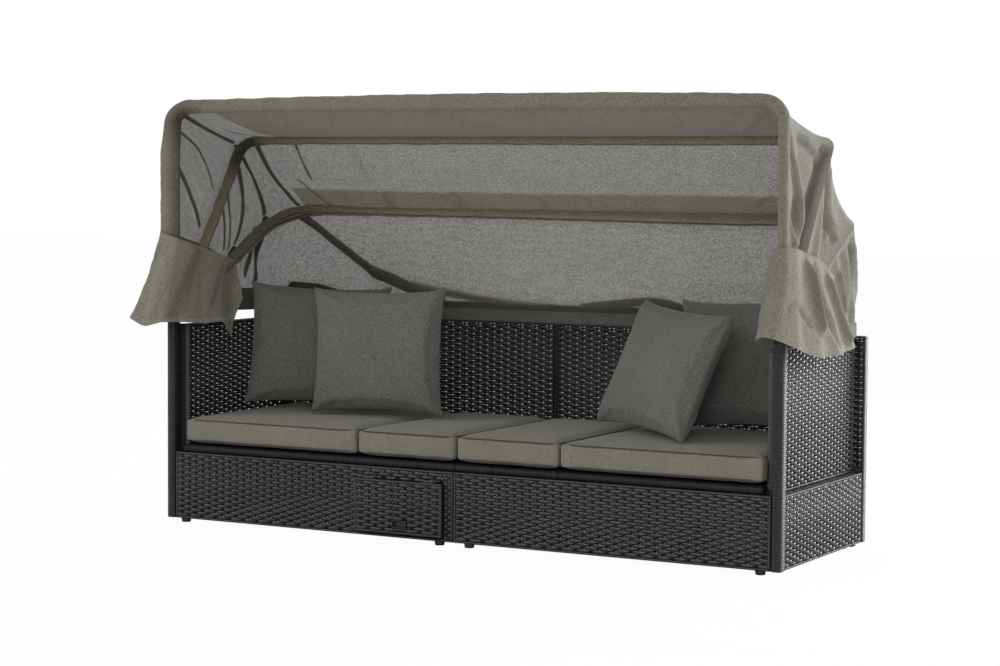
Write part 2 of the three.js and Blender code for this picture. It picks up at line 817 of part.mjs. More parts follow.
function makeBows() {
  const canopy = new THREE.Group();
  for (const bow of bows) {
    const swing = new THREE.Group();
    swing.position.set(0, pivotY, pivotHeight);
    swing.rotation.x = -degrees(bow.tilt);
    for (const { side, hand } of sides) {
      swing.add(mesh(`bow_${bow.place}_leg_${hand}`, handed(bowLeg(bow), side), "tube"));
    }
    swing.add(mesh(`bow_${bow.place}_bar`, bowBar(bow), "tube"));
    canopy.add(swing);
  }
  for (const { side, hand } of sides) {
    canopy.add(mesh(`pivot_bracket_${hand}`, handed(bracket(), side), "black"));
    for (const [name, geometry] of [["pivot_bolt", pivotBolt()], ["pivot_nut", pivotNut()]]) {
      const piece = mesh(`${name}_${hand}`, handed(geometry, side), "bolt");
      piece.position.set(0, pivotY, pivotHeight);
      canopy.add(piece);
    }
  }
  return canopy;
}

// Canopy cloth

// Closed sheet of even thickness from rows of points, its seen side outwards
function sheet(rows) {
  const down = rows.length;
  const across = rows[0].length;
  const point = (j, i) => rows[Math.min(Math.max(j, 0), down - 1)][Math.min(Math.max(i, 0), across - 1)];
  const normal = (j, i) => {
    const alongRow = point(j, i + 1).clone().sub(point(j, i - 1));
    const downRows = point(j + 1, i).clone().sub(point(j - 1, i));
    return downRows.cross(alongRow).normalize();
  };
  const positions = [];
  for (const layer of [clothThickness, 0]) {
    for (let j = 0; j < down; j++) {
      for (let i = 0; i < across; i++) {
        const p = point(j, i).clone().addScaledVector(normal(j, i), layer);
        positions.push(p.x, p.y, p.z);
      }
    }
  }
  const id = (layer, j, i) => layer * down * across + j * across + i;
  const index = [];
  const quad = (a, b, c, d) => index.push(a, b, c, a, c, d);
  for (let j = 0; j < down - 1; j++) {
    for (let i = 0; i < across - 1; i++) {
      quad(id(0, j, i), id(0, j + 1, i), id(0, j + 1, i + 1), id(0, j, i + 1));
      quad(id(1, j, i), id(1, j, i + 1), id(1, j + 1, i + 1), id(1, j + 1, i));
    }
  }
  for (let i = 0; i < across - 1; i++) {
    quad(id(1, 0, i), id(0, 0, i), id(0, 0, i + 1), id(1, 0, i + 1));
    quad(id(0, down - 1, i), id(1, down - 1, i), id(1, down - 1, i + 1), id(0, down - 1, i + 1));
  }
  for (let j = 0; j < down - 1; j++) {
    quad(id(0, j, 0), id(1, j, 0), id(1, j + 1, 0), id(0, j + 1, 0));
    quad(id(1, j, across - 1), id(0, j, across - 1), id(0, j + 1, across - 1), id(1, j + 1, across - 1));
  }
  const geometry = new THREE.BufferGeometry();
  geometry.setAttribute("position", new THREE.Float32BufferAttribute(positions, 3));
  geometry.setIndex(index);
  return geometry;
}

// Points of the cloth over one bow, from its left lower edge over the roof to the right one.
// inset draws the whole arch inwards and ahead moves it in front of the bow's plane.
function coverArch(bow, inset = 0, ahead = 0) {
  const offset = tubeRadius + clothClearance - inset;
  const reach = bow.legX + bow.puff + offset;
  const top = bowRadius + offset;
  const round = bow.coverBend - inset;
  const lowest = coverLowest(bow);
  const straight = top - round - lowest;
  const right = [];
  for (let i = 0; i < archSideSteps; i++) {
    right.push([reach, lowest + straight * (i / archSideSteps)]);
  }
  for (let i = 0; i <= archCornerSteps; i++) {
    const angle = (Math.PI / 2) * (i / archCornerSteps);
    right.push([reach - round * (1 - Math.cos(angle)), top - round * (1 - Math.sin(angle))]);
  }
  for (let i = 1; i <= archRoofSteps; i++) {
    right.push([(reach - round) * (1 - i / archRoofSteps), top]);
  }
  const left = right.slice(0, -1).map(([x, r]) => [-x, r]);
  return [...left, ...right.reverse()].map(([x, r]) => onBow(bow, x, r, ahead));
}

// Lower end of the cover on a bow's leg, as its distance from the pivot
function coverLowest({ bend, side }) {
  return bowRadius - bend - side;
}

// Place at x, at a distance from the pivot along the opened bow and ahead of its plane
function onBow({ tilt }, x, distance, ahead = 0) {
  return new THREE.Vector3(x, -ahead, distance)
    .applyAxisAngle(new THREE.Vector3(1, 0, 0), -degrees(tilt))
    .add(new THREE.Vector3(0, pivotY, pivotHeight));
}

// Rows of cloth stretched from one arch to the next, dipping between them in soft folds
function coverRows(first, second, sag = clothSagDepth) {
  const rows = [];
  for (let j = 0; j <= coverSteps; j++) {
    rows.push(first.map((start, i) => {
      const end = second[i];
      const joint = clothJointGap / start.distanceTo(end);
      const share = joint + (1 - 2 * joint) * (j / coverSteps);
      const p = start.clone().lerp(end, share);
      const dip = 4 * share * (1 - share);
      const around = (i / (first.length - 1)) * 2 * Math.PI;
      const onSide = Math.min(Math.abs(p.x / frontLegX), 1) ** 12;
      const inward = new THREE.Vector3(0, pivotY - p.y, pivotHeight - p.z).normalize();
      const roofFold = 1 + roofFoldShare * Math.cos(around * roofFolds);
      const sideFold = 1 - sideFoldShare * (1 - Math.cos(around * sideFolds));
      p.addScaledVector(inward, sag * dip * (1 - onSide) * roofFold);
      p.x -= Math.sign(p.x) * foldDepth * dip * onSide * sideFold;
      return p;
    }));
  }
  return rows;
}

// The back curtain falls from the rear bow to a hem just above the back panels, and the hem
// turns forward round the corner above each end panel
function curtainHem(arch) {
  const hemY = benchDepth - panelDepth / 2;
  const hemZ = backTop + curtainHemHeight;
  const turning = archSideSteps + archCornerSteps;
  return arch.map((top, i) => {
    const fromEnd = Math.min(i, arch.length - 1 - i);
    const forward = curtainWrapLength * Math.max(1 - fromEnd / turning, 0) ** 2;
    const wave = foldDepth * hemWaveShare * Math.cos((i / (arch.length - 1)) * 2 * Math.PI * curtainFolds);
    return new THREE.Vector3(top.x, hemY - forward + wave / 2, hemZ + wave);
  });
}

// Inner seam of the right-hand skirt, from the back bow's leg forward past the other legs
function skirtInnerSeam() {
  const x = backLegX - tubeRadius - skirtLegGap;
  const [front, middle, back] = bows.map((bow) => onBow(bow, x, coverLowest(bow)));
  const corner = new THREE.Vector3(x, front.y - skirtFrontDepth, front.z);
  return [back, back.clone().lerp(middle, 0.5), middle, middle.clone().lerp(front, 0.5), front, corner];
}

// Skirt round the feet of the bows at the right-hand end: from its free edge inside the legs
// round the front, then sewn to the lower edge of the cover and flared outwards
function skirtRows(inner, outer) {
  const rows = [];
  for (let j = 0; j <= skirtSteps; j++) {
    const t = j / skirtSteps;
    const inside = inner.map((top, i) => {
      const s = i / (inner.length - 1);
      const height = THREE.MathUtils.lerp(top.z - skirtJointGap, skirtHemHeight, t);
      return new THREE.Vector3(top.x - skirtInnerFlare * t, top.y - skirtFrontLength * t * s ** 2, height);
    });
    const outside = outer.map((top, i) => {
      const s = i / (outer.length - 1);
      const fold = 0.5 - 0.5 * Math.cos(s * 2 * Math.PI * skirtFolds);
      const hem = skirtHemHeight + foldDepth * Math.cos(s * 2 * Math.PI * skirtHemWaves);
      const ahead = skirtFrontLength * t * Math.max(1 - s / skirtReachShare, 0) ** 2;
      const flare = skirtFlareWidth * t ** skirtCurve * (0.5 + 0.5 * fold);
      const height = THREE.MathUtils.lerp(top.z - skirtJointGap, hem, t);
      return new THREE.Vector3(top.x + flare, top.y - ahead, height);
    });
    rows.push([...inside, ...outside]);
  }
  return rows;
}

function makeCover() {
  const cover = new THREE.Group();
  const [front, middle, back] = bows.map((bow) => coverArch(bow));
  const sleeveGap = tubeRadius + clothClearance;
  const sleeve = [coverArch(bows[0], lipWidth, sleeveGap), coverArch(bows[0], clothClearance, sleeveGap)];
  const panels = [
    ["cover_front", [...sleeve, ...coverRows(front, middle)]],
    ["cover_middle", coverRows(middle, back)],
    ["cover_back", coverRows(back, curtainHem(back), 0)],
  ];
  for (const [name, rows] of panels) cover.add(mesh(name, sheet([...rows].reverse()), "cloth"));
  const edges = panels.map(([, rows]) => rows.map((row) => row[row.length - 1]));
  const skirtEdge = [...edges[0], ...edges[1], ...edges[2].slice(0, skirtCurtainRows)];
  for (const { side, hand } of sides) {
    const skirt = sheet(skirtRows(skirtInnerSeam(), skirtEdge));
    cover.add(mesh(`skirt_${hand}`, handed(skirt, side), "cloth"));
  }
  return cover;
}

const bench = new THREE.Group();
const seat = makeSeatCushions();
bench.add(makeBase(), makeSeatFrame(), makeFlap(), seat, makePillows(seat), makeBows(), makeCover());
const box = new THREE.Box3().setFromObject(bench);
bench.position.y = -(box.min.y + box.max.y) / 2;
const group = new THREE.Group();
group.add(bench);
group.updateMatrixWorld(true);

export default group;
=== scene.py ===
# Outdoor daybed with a folding canopy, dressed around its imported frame: woven panels, seat
# cushions, loose pillows and one sewn canopy cover. Metres, in the frame's own axes.

import json
import math

import bmesh
import bpy
import numpy as np
from mathutils import Matrix, Vector, noise


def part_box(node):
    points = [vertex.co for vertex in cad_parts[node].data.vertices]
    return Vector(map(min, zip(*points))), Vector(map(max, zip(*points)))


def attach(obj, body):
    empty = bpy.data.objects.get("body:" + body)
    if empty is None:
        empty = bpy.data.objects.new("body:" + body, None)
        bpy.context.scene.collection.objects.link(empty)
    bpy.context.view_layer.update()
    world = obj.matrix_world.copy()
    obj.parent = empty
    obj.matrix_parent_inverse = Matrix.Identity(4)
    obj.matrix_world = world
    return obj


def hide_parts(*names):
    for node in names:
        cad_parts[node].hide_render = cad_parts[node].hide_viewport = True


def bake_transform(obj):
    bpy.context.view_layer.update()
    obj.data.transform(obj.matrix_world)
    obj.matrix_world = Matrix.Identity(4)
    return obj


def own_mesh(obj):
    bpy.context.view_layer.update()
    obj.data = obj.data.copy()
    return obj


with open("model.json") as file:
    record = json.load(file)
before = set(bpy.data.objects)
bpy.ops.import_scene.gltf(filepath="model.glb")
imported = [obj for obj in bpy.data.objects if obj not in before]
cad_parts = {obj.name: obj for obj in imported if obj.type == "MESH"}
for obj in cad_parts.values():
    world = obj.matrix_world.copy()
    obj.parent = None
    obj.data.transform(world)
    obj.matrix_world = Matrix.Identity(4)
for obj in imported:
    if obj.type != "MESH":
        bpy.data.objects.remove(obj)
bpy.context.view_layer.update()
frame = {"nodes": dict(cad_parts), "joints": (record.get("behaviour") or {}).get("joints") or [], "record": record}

HANDS = {"left": -1, "right": 1}

# Places read from the frame
BENCH_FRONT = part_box("front_panel_right")[0].y
JOINTS = {joint["name"]: joint for joint in frame["joints"]}
PIVOT = Vector(JOINTS["canopy_fold"]["pos_m"])

# Camera of the photograph
CAMERA_PLACE = Vector((3.8695, BENCH_FRONT - 6.7423, 1.2102))
CAMERA_LENS = 86.25
CAMERA_TURN = math.radians(28.73)
CAMERA_DIP = math.radians(3.74)
CAMERA_ROLL = math.radians(0.415)


def make_camera():
    data = bpy.data.cameras.new("camera")
    data.lens = CAMERA_LENS
    data.sensor_width = 36
    camera = bpy.data.objects.new("camera", data)
    bpy.context.collection.objects.link(camera)
    turn = Matrix.Rotation(CAMERA_TURN, 4, "Z")
    dip = Matrix.Rotation(math.pi / 2 - CAMERA_DIP, 4, "X")
    roll = Matrix.Rotation(CAMERA_ROLL, 4, "Z")
    camera.matrix_world = Matrix.Translation(CAMERA_PLACE) @ turn @ dip @ roll
    bpy.context.scene.camera = camera


make_camera()

# Materials

# How far cloth is darkened by painted shade and closed as a double layer, and how far it is lined,
# from 0 to 1, on mesh points
DOUBLED_AND_SHADE = "doubled_and_shade"
LINED = "lined"
# Painted shade: the colour that cloth darkens towards in folds, hollows and shaded parts
PAINTED_SHADE_TONE = (0.13, 0.105, 0.085)
MESH_CELL = 0.0062  # distance between the openings of the canopy cloth
THREAD = 0.0012
CLOTH_ROUGHNESS = 0.92
CLOTH_GLOSS = 0.2
CLOTH_SHEEN = 0.15
SHEEN_ROUGHNESS = 0.6
COAT_GRAIN = 900
ALONG_UP = (0.4, 0.4, 14)  # streaks of the strands in a panel


def new_material(name):
    material = bpy.data.materials.new(name)
    material.use_nodes = True
    return material, material.node_tree, material.node_tree.nodes["Principled BSDF"]


EVEN = (1, 1, 1)


def texture_node(tree, kind, scale, stretch):
    """Texture in the object's own coordinates, stretched along the axes with a low number."""
    place = tree.nodes.new("ShaderNodeTexCoord")
    mapping = tree.nodes.new("ShaderNodeMapping")
    mapping.inputs["Scale"].default_value = stretch
    texture = tree.nodes.new(kind)
    texture.inputs["Scale"].default_value = scale
    tree.links.new(place.outputs["Object"], mapping.inputs["Vector"])
    tree.links.new(mapping.outputs["Vector"], texture.inputs["Vector"])
    return texture


def noise_node(tree, scale, stretch, detail):
    texture = texture_node(tree, "ShaderNodeTexNoise", scale, stretch)
    texture.inputs["Detail"].default_value = detail
    return texture.outputs["Fac"]


def cell_node(tree, size, stretch):
    """Distance from the middle of soft cells of this size."""
    texture = texture_node(tree, "ShaderNodeTexVoronoi", 1 / size, stretch)
    texture.inputs["Randomness"].default_value = 0.75
    return texture.outputs["Distance"]


def attribute_node(tree, name):
    found = tree.nodes.new("ShaderNodeAttribute")
    found.attribute_name = name
    return found.outputs["Fac"]


def grey(tone):
    return (tone,) * 3


def ramp_node(tree, factor, stops):
    ramp = tree.nodes.new("ShaderNodeValToRGB")
    elements = ramp.color_ramp.elements
    while len(elements) < len(stops):
        elements.new(0.5)
    for element, (position, colour) in zip(elements, stops):
        element.position = position
        element.color = (*colour, 1)
    tree.links.new(factor, ramp.inputs["Fac"])
    return ramp.outputs["Color"]


def mix_colour(tree, factor, first, second, blend="MIX"):
    mix = tree.nodes.new("ShaderNodeMix")
    mix.data_type = "RGBA"
    mix.blend_type = blend
    if isinstance(factor, float):
        mix.inputs["Factor"].default_value = factor
    else:
        tree.links.new(factor, mix.inputs["Factor"])
    for socket, colour in (("A", first), ("B", second)):
        socket = next(s for s in mix.inputs if s.name == socket and s.type == "RGBA")
        tree.links.new(colour, socket)
    return next(s for s in mix.outputs if s.type == "RGBA")


def bump_node(tree, shader, height, strength, distance):
    bump = tree.nodes.new("ShaderNodeBump")
    bump.inputs["Strength"].default_value = strength
    bump.inputs["Distance"].default_value = distance
    tree.links.new(height, bump.inputs["Height"])
    tree.links.new(bump.outputs["Normal"], shader.inputs["Normal"])


def wicker_material(name, dark, light, roughness, stretch=ALONG_UP, gloss=0.5):
    """Flat synthetic strand: fine streaks along it and small differences in tone."""
    material, tree, shader = new_material(name)
    streaks = noise_node(tree, 60, stretch, 3)
    patches = noise_node(tree, 5, EVEN, 2)
    fine = ramp_node(tree, streaks, [(0.3, dark), (0.7, light)])
    broad = ramp_node(tree, patches, [(0.35, grey(0.82)), (0.65, grey(1.0))])
    tree.links.new(mix_colour(tree, 1.0, fine, broad, "MULTIPLY"), shader.inputs["Base Color"])
    shader.inputs["Roughness"].default_value = roughness
    shader.inputs["Specular IOR Level"].default_value = gloss
    bump_node(tree, shader, streaks, 0.25, 0.0006)
    return material


def fabric_material(name, dark, light, thread=THREAD, holes=None, lining=None):
    """Heather cloth: light and dark threads both ways, slubs and soft wide variation.

    It is painted darker, as painted shade of folds, hollows and shaded parts, where its mesh is marked
    so. With holes (least, most) it is an open mesh that lets this share of light through, and less
    where it is marked as a double layer or lined. A lining (dark, light) gives the colours of its
    threads where the mesh is marked lined."""
    material, tree, shader = new_material(name)
    fineness = 1 / (2 * thread)
    across = noise_node(tree, fineness, (0.35, 1, 2.2), 2)
    along = noise_node(tree, fineness, (2.2, 1, 0.35), 2)
    patches = noise_node(tree, 9, EVEN, 3)
    warp = ramp_node(tree, across, [(0.36, dark), (0.64, light)])
    weft = ramp_node(tree, along, [(0.36, dark), (0.64, light)])
    threads = mix_colour(tree, 0.5, warp, weft)
    lined = attribute_node(tree, LINED)
    if lining:
        backing = ramp_node(tree, across, [(0.36, lining[0]), (0.64, lining[1])])
        threads = mix_colour(tree, lined, threads, backing)
    broad = ramp_node(tree, patches, [(0.3, grey(0.88)), (0.7, grey(1.0))])
    colour = mix_colour(tree, 1.0, threads, broad, "MULTIPLY")
    doubled_and_shade = attribute_node(tree, DOUBLED_AND_SHADE)
    # Painted shade: the colour darkens where the mark is high
    shade = ramp_node(tree, doubled_and_shade, [(0.0, grey(1.0)), (1.0, PAINTED_SHADE_TONE)])
    tree.links.new(mix_colour(tree, 1.0, colour, shade, "MULTIPLY"), shader.inputs["Base Color"])
    shader.inputs["Roughness"].default_value = CLOTH_ROUGHNESS
    shader.inputs["Specular IOR Level"].default_value = CLOTH_GLOSS
    shader.inputs["Sheen Weight"].default_value = CLOTH_SHEEN
    shader.inputs["Sheen Roughness"].default_value = SHEEN_ROUGHNESS
    if holes:
        least, most = holes
        cells = cell_node(tree, MESH_CELL, (0.8, 1, 1.15))
        solid = ramp_node(tree, cells, [(0.15, grey(1 - most)), (0.6, grey(1 - least))])
        closed = ramp_node(tree, doubled_and_shade, [(0.0, grey(0.0)), (0.6, grey(1.0))])
        backed = ramp_node(tree, lined, [(0.0, grey(0.0)), (1.0, grey(0.97))])
        closed = mix_colour(tree, 1.0, closed, backed, "LIGHTEN")
        tree.links.new(mix_colour(tree, 1.0, solid, closed, "LIGHTEN"), shader.inputs["Alpha"])
    bump_node(tree, shader, across, 0.3, 0.0006)
    return material


def coated_material(name, colour, roughness, metallic=0.0):
    """Powder coat, moulded plastic or bare metal with a fine grain."""
    material, tree, shader = new_material(name)
    speckle = noise_node(tree, COAT_GRAIN, EVEN, 2)
    lighter = tuple(min(1, c * 1.25) for c in colour)
    darker = tuple(c * 0.85 for c in colour)
    tone = ramp_node(tree, speckle, [(0.35, darker), (0.65, lighter)])
    tree.links.new(tone, shader.inputs["Base Color"])
    shader.inputs["Roughness"].default_value = roughness
    shader.inputs["Metallic"].default_value = metallic
    bump_node(tree, shader, speckle, 0.15, 0.0003)
    return material


WICKER = wicker_material("wicker", (0.014, 0.0145, 0.014), (0.036, 0.037, 0.036), 0.32)
BOARD = wicker_material("board_wicker", (0.004, 0.0042, 0.004), (0.02, 0.0205, 0.02), 0.5,
                        (5, 0.3, 0.3), 0.2)
POST = wicker_material("post_wicker", (0.006, 0.0062, 0.006), (0.022, 0.0225, 0.022), 0.45,
                       (0.3, 0.3, 5), 0.3)
BACK = wicker_material("back_wicker", (0.009, 0.0093, 0.009), (0.024, 0.0245, 0.024), 0.36, gloss=0.3)
SEAT = fabric_material("seat_fabric", (0.14, 0.132, 0.104), (0.25, 0.238, 0.192), 0.0018)
PILLOW = fabric_material("pillow_fabric", (0.07, 0.0725, 0.065), (0.2, 0.203, 0.184), 0.0017)
CANOPY = fabric_material("canopy_cloth", (0.115, 0.11, 0.092), (0.26, 0.25, 0.215), 0.0016,
                         holes=(0.08, 0.22), lining=((0.12, 0.106, 0.068), (0.29, 0.262, 0.182)))
SLEEVE = fabric_material("canopy_sleeve", (0.1, 0.092, 0.066), (0.25, 0.236, 0.185), 0.0018)
CUFF = fabric_material("canopy_cuff", (0.115, 0.107, 0.083), (0.29, 0.276, 0.225), 0.0018,
                       holes=(0.0, 0.06))
BAND = fabric_material("canopy_band", (0.06, 0.06, 0.05), (0.14, 0.14, 0.12), 0.002)
WELT = fabric_material("seat_welt", (0.035, 0.032, 0.026), (0.07, 0.064, 0.052))
TUBE = coated_material("bow_tube", (0.05, 0.042, 0.036), 0.45, 0.3)
BLACK = coated_material("black_plastic", (0.012, 0.012, 0.013), 0.5)
FRAME_COAT = coated_material("frame_coat", (0.02, 0.02, 0.021), 0.45, 0.3)
STEEL = coated_material("stainless", (0.5, 0.5, 0.51), 0.3, 1.0)

NODE_MATERIALS = {
    "wicker": WICKER,
    "seat_board": BOARD,
    "foot": BLACK,
    "bin": BLACK,
    "bearer": FRAME_COAT,
    "hardware": STEEL,
    "bow_tube": TUBE,
    "canopy_cloth": CANOPY,
    "seat_fabric": SEAT,
    "pillow_fabric": PILLOW,
}


def finish_nodes():
    """Every CAD node that stays gets the material of its slot in the record."""
    for part in frame["record"]["subparts"]:
        node = frame["nodes"][part["node"]]
        node.data.materials.clear()
        pin = part["node"].startswith("flap_pin")
        node.data.materials.append(FRAME_COAT if pin else NODE_MATERIALS[part["material_slot"]])


finish_nodes()

# Mesh helpers


def new_object(name, points, faces):
    data = bpy.data.meshes.new(name)
    data.from_pydata(np.asarray(points, float).reshape(-1, 3).tolist(), [], faces)
    piece = bpy.data.objects.new(name, data)
    bpy.context.collection.objects.link(piece)
    return piece


def add_piece(name, points, faces, material, body, replaced):
    """Piece that rides on a body, where it has one, and stands for CAD nodes, where it does."""
    piece = new_object(name, points, faces)
    piece.data.materials.append(material)
    outwards(piece)
    piece.data.shade_smooth()
    if body:
        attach(piece, body)
    if replaced:
        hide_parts(*replaced)
    return piece


def outwards(piece):
    mesh = bmesh.new()
    mesh.from_mesh(piece.data)
    bmesh.ops.recalc_face_normals(mesh, faces=mesh.faces)
    mesh.to_mesh(piece.data)
    mesh.free()


class Collected:
    """Points and faces of many closed shapes that make one piece."""

    def __init__(self):
        self.points = []
        self.faces = []
        self.count = 0

    def add(self, points, faces):
        points = np.asarray(points, float).reshape(-1, 3)
        self.faces += [[i + self.count for i in face] for face in faces]
        self.points.append(points)
        self.count += len(points)

    def add_tubes(self, points):
        """Closed tubes from points of shape (tubes, stations, corners, 3)."""
        count, stations, corners, _ = points.shape
        index = np.arange(count * stations * corners).reshape(count, stations, corners)
        near, far = index[:, :-1], index[:, 1:]
        sides = np.stack([near, np.roll(near, -1, 2), np.roll(far, -1, 2), far], -1)
        caps = np.concatenate([index[:, 0, ::-1], index[:, -1]])
        self.add(points, sides.reshape(-1, 4).tolist() + caps.tolist())

    def all_points(self):
        return np.concatenate(self.points)


# Woven panels

STRAND_ROW = 0.0098
STAKE_PITCH = {"x": 0.028, "y": 0.029}
STAKE_WIDTH = 0.008
STAKE_THICKNESS = 0.0024
WEAVE_LIFT = 0.0042  # how far a strand rises over a stake
LIFT_POWER = 0.9
LEAST_WIDTH = 0.8  # of a strand, in rows
WRAP_WIDTH = 0.0066
WRAP_RIDGE = 0.0014  # depth of the groove between two wraps
RIM_WIDTH = 0.008
RIM_BACK = 0.0025  # face of the rim behind the face of the panel
SEAT_RAIL = 0.022  # half the height of the rail behind the seat
FIELD_SET_BACK = 0.006  # middle of the weave behind the face of the panel
TUCK = 0.003  # strands run this far into the rim
BAR_CHAMFER = 0.004
POST_CHAMFER = 0.005
BOARD_CHAMFER = 0.006
# Width of a strand in rows, between the stakes and where it passes over one
TIGHT = {"between": 1.1, "over": 0.3, "thickness": 0.0036}
CLOSE = {"between": 1.0, "over": 0.3, "thickness": 0.0036}
OPEN = {"between": 1.02, "over": 0.34, "thickness": 0.0036}
# Section of a strand in shares of its width and thickness, face up
STRAND_SECTION = np.array([(-0.5, -0.15), (-0.3, 0.5), (0.3, 0.5), (0.5, -0.15), (0.0, -0.5)])


class Plane:
    """Local axes of a panel: u along its face, v up it and w out of it."""

    def __init__(self, origin, u, v, w):
        self.origin = np.array(origin)
        self.axes = np.array([u, v, w])
        self.pitch = STAKE_PITCH["x" if abs(u[0]) > 0 else "y"]

    def place(self, points):
        return self.origin + np.asarray(points) @ self.axes


def woven_field(made, plane, window, style, depth):
    """Strands that pass over and under upright stakes, inside a window (u, v, u, v)."""
    left, bottom, right, top = window
    rows = max(2, round((top - bottom) / STRAND_ROW))
    row = (top - bottom) / rows
    stakes = max(2, round((right - left) / plane.pitch))
    pitch = (right - left) / stakes
    steps = 4 * stakes + 1
    u = np.linspace(left, right, steps)
    wave = np.sin(np.pi * (u - left) / pitch)
    u[0] -= TUCK
    u[-1] += TUCK
    over = np.where(np.arange(rows) % 2, -1, 1)[:, None] * wave
    lift = WEAVE_LIFT * np.sign(over) * np.abs(over) ** LIFT_POWER
    width = row * (style["between"] + style["over"] * over)
    width = np.maximum(width, LEAST_WIDTH * row)
    points = np.zeros((rows, steps, len(STRAND_SECTION), 3))
    points[..., 0] = u[None, :, None]
    heights = bottom + row * (np.arange(rows) + 0.5)
    points[..., 1] = heights[:, None, None] + width[..., None] * STRAND_SECTION[:, 0]
    points[..., 2] = depth + lift[..., None] + style["thickness"] * STRAND_SECTION[:, 1]
    made.add_tubes(plane.place(points))
    stake = STRAND_SECTION * np.array([STAKE_WIDTH, STAKE_THICKNESS])
    points = np.zeros((stakes, 2, len(stake), 3))
    points[..., 0] = (left + pitch * (np.arange(stakes) + 0.5))[:, None, None] + stake[:, 0]
    points[:, 0, :, 1] = bottom - TUCK
    points[:, 1, :, 1] = top + TUCK
    points[..., 2] = depth + stake[:, 1]
    made.add_tubes(plane.place(points))


def wrapped_bar(made, plane, low, high, along, chamfer=BAR_CHAMFER):
    """Bar between two corners (u, v, w), wrapped in strands that run across its length."""
    low, high = np.array(low, float), np.array(high, float)
    cross = [axis for axis in range(3) if axis != along]
    wraps = max(1, round((high[along] - low[along]) / WRAP_WIDTH))
    stations = 3 * wraps + 1
    middle = (low + high) / 2
    a, b = ((high - low) / 2)[cross]
    c = min(chamfer, a * 0.6, b * 0.6)
    quarter = [(a, b - c), (a - c, b)]
    corners = quarter + [(-x, y) for x, y in quarter[::-1]]
    corners = np.array(corners + [(-x, -y) for x, y in corners])
    groove = np.where(np.arange(stations) % 3, 0.0, WRAP_RIDGE)
    place = (np.arange(stations) + np.array([0, -0.5, 0.5])[np.arange(stations) % 3]) / (stations - 1)
    scale = 1 - groove[:, None] / np.array([a, b])
    section = corners[None] * scale[:, None]
    points = np.zeros((1, stations, len(corners), 3))
    points[0, ..., along] = (low[along] + place * (high[along] - low[along]))[:, None]
    points[0, ..., cross[0]] = middle[cross[0]] + section[..., 0]
    points[0, ..., cross[1]] = middle[cross[1]] + section[..., 1]
    made.add_tubes(plane.place(points))


def rim(made, plane, low, high, depth, width=RIM_WIDTH):
    """Wrapped frame round a rectangle (u, v), from its face back to depth."""
    (left, bottom), (right, top) = low, high
    face = -RIM_BACK
    wrapped_bar(made, plane, (left, bottom, -depth), (right, bottom + width, face), 0)
    wrapped_bar(made, plane, (left, top - width, -depth), (right, top, face), 0)
    wrapped_bar(made, plane, (left, bottom + width, -depth), (left + width, top - width, face), 1)
    wrapped_bar(made, plane, (right - width, bottom + width, -depth), (right, top - width, face), 1)


def inside_rim(width, height):
    return RIM_WIDTH, RIM_WIDTH, width - RIM_WIDTH, height - RIM_WIDTH


def facing_front(node):
    low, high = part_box(node)
    plane = Plane((low.x, low.y, low.z), (1, 0, 0), (0, 0, 1), (0, -1, 0))
    return plane, high.x - low.x, high.z - low.z, high.y - low.y


def facing_end(node, side):
    low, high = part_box(node)
    x = high.x if side > 0 else low.x
    plane = Plane((x, low.y, low.z), (0, 1, 0), (0, 0, 1), (side, 0, 0))
    return plane, high.y - low.y, high.z - low.z, high.x - low.x


def panel_piece(name, made, node, body="root", material=WICKER):
    return add_piece(name, made.all_points(), made.faces, material, body, [node])


MOUTH_LAP = 0.013  # the flap laps its opening by this much
MOUTH_BAR = 0.012  # width of the frame round the opening


def make_front_panels():
    for hand, side in HANDS.items():
        node = f"front_panel_{hand}"
        plane, width, height, depth = facing_front(node)
        made = Collected()
        rim(made, plane, (0, 0), (width, height), depth)
        left, bottom, right, top = inside_rim(width, height)
        if side > 0:
            woven_field(made, plane, (left, bottom, right, top), TIGHT, -FIELD_SET_BACK)
        else:
            flap_low, flap_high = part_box("flap")
            near = flap_low.x - plane.origin[0] + MOUTH_LAP
            far = flap_high.x - plane.origin[0] - MOUTH_LAP
            high = flap_high.z - plane.origin[2] - MOUTH_LAP
            back = -FIELD_SET_BACK
            woven_field(made, plane, (left, bottom, near - MOUTH_BAR, top), TIGHT, back)
            woven_field(made, plane, (far + MOUTH_BAR, bottom, right, top), TIGHT, back)
            above = (near - MOUTH_BAR, high + MOUTH_BAR, far + MOUTH_BAR, top)
            woven_field(made, plane, above, TIGHT, back)
            frame_low = (near - MOUTH_BAR, bottom)
            frame_high = (far + MOUTH_BAR, high + MOUTH_BAR)
            inner = plane.place([0, 0, -2 * TIGHT["thickness"]])
            set_in = Plane(inner, *plane.axes)
            rim(made, set_in, frame_low, frame_high, depth / 2, MOUTH_BAR)
        panel_piece(f"woven_{node}", made, node)


def make_back_panels():
    seat_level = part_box("seat_board_wide_right")[0].z
    for hand in HANDS:
        node = f"back_panel_{hand}"
        plane, width, height, depth = facing_front(node)
        made = Collected()
        rim(made, plane, (0, 0), (width, height), depth)
        left, bottom, right, top = inside_rim(width, height)
        rail = seat_level - plane.origin[2]
        low, high = rail - SEAT_RAIL, rail + SEAT_RAIL
        wrapped_bar(made, plane, (left, low, -depth), (right, high, -FIELD_SET_BACK), 0)
        woven_field(made, plane, (left, bottom, right, low), TIGHT, -depth / 2)
        woven_field(made, plane, (left, high, right, top), CLOSE, -FIELD_SET_BACK)
        panel_piece(f"woven_{node}", made, node, material=BACK)


# Strip that closes the gap to the post: how far it stands out of an end panel, from where on
# the panel and to where
LACING = 0.010
LACING_GAP = 0.0004
LACING_WIDTH = 0.007
LACING_CHAMFER = 0.001
END_BASE_WALL = 0.016


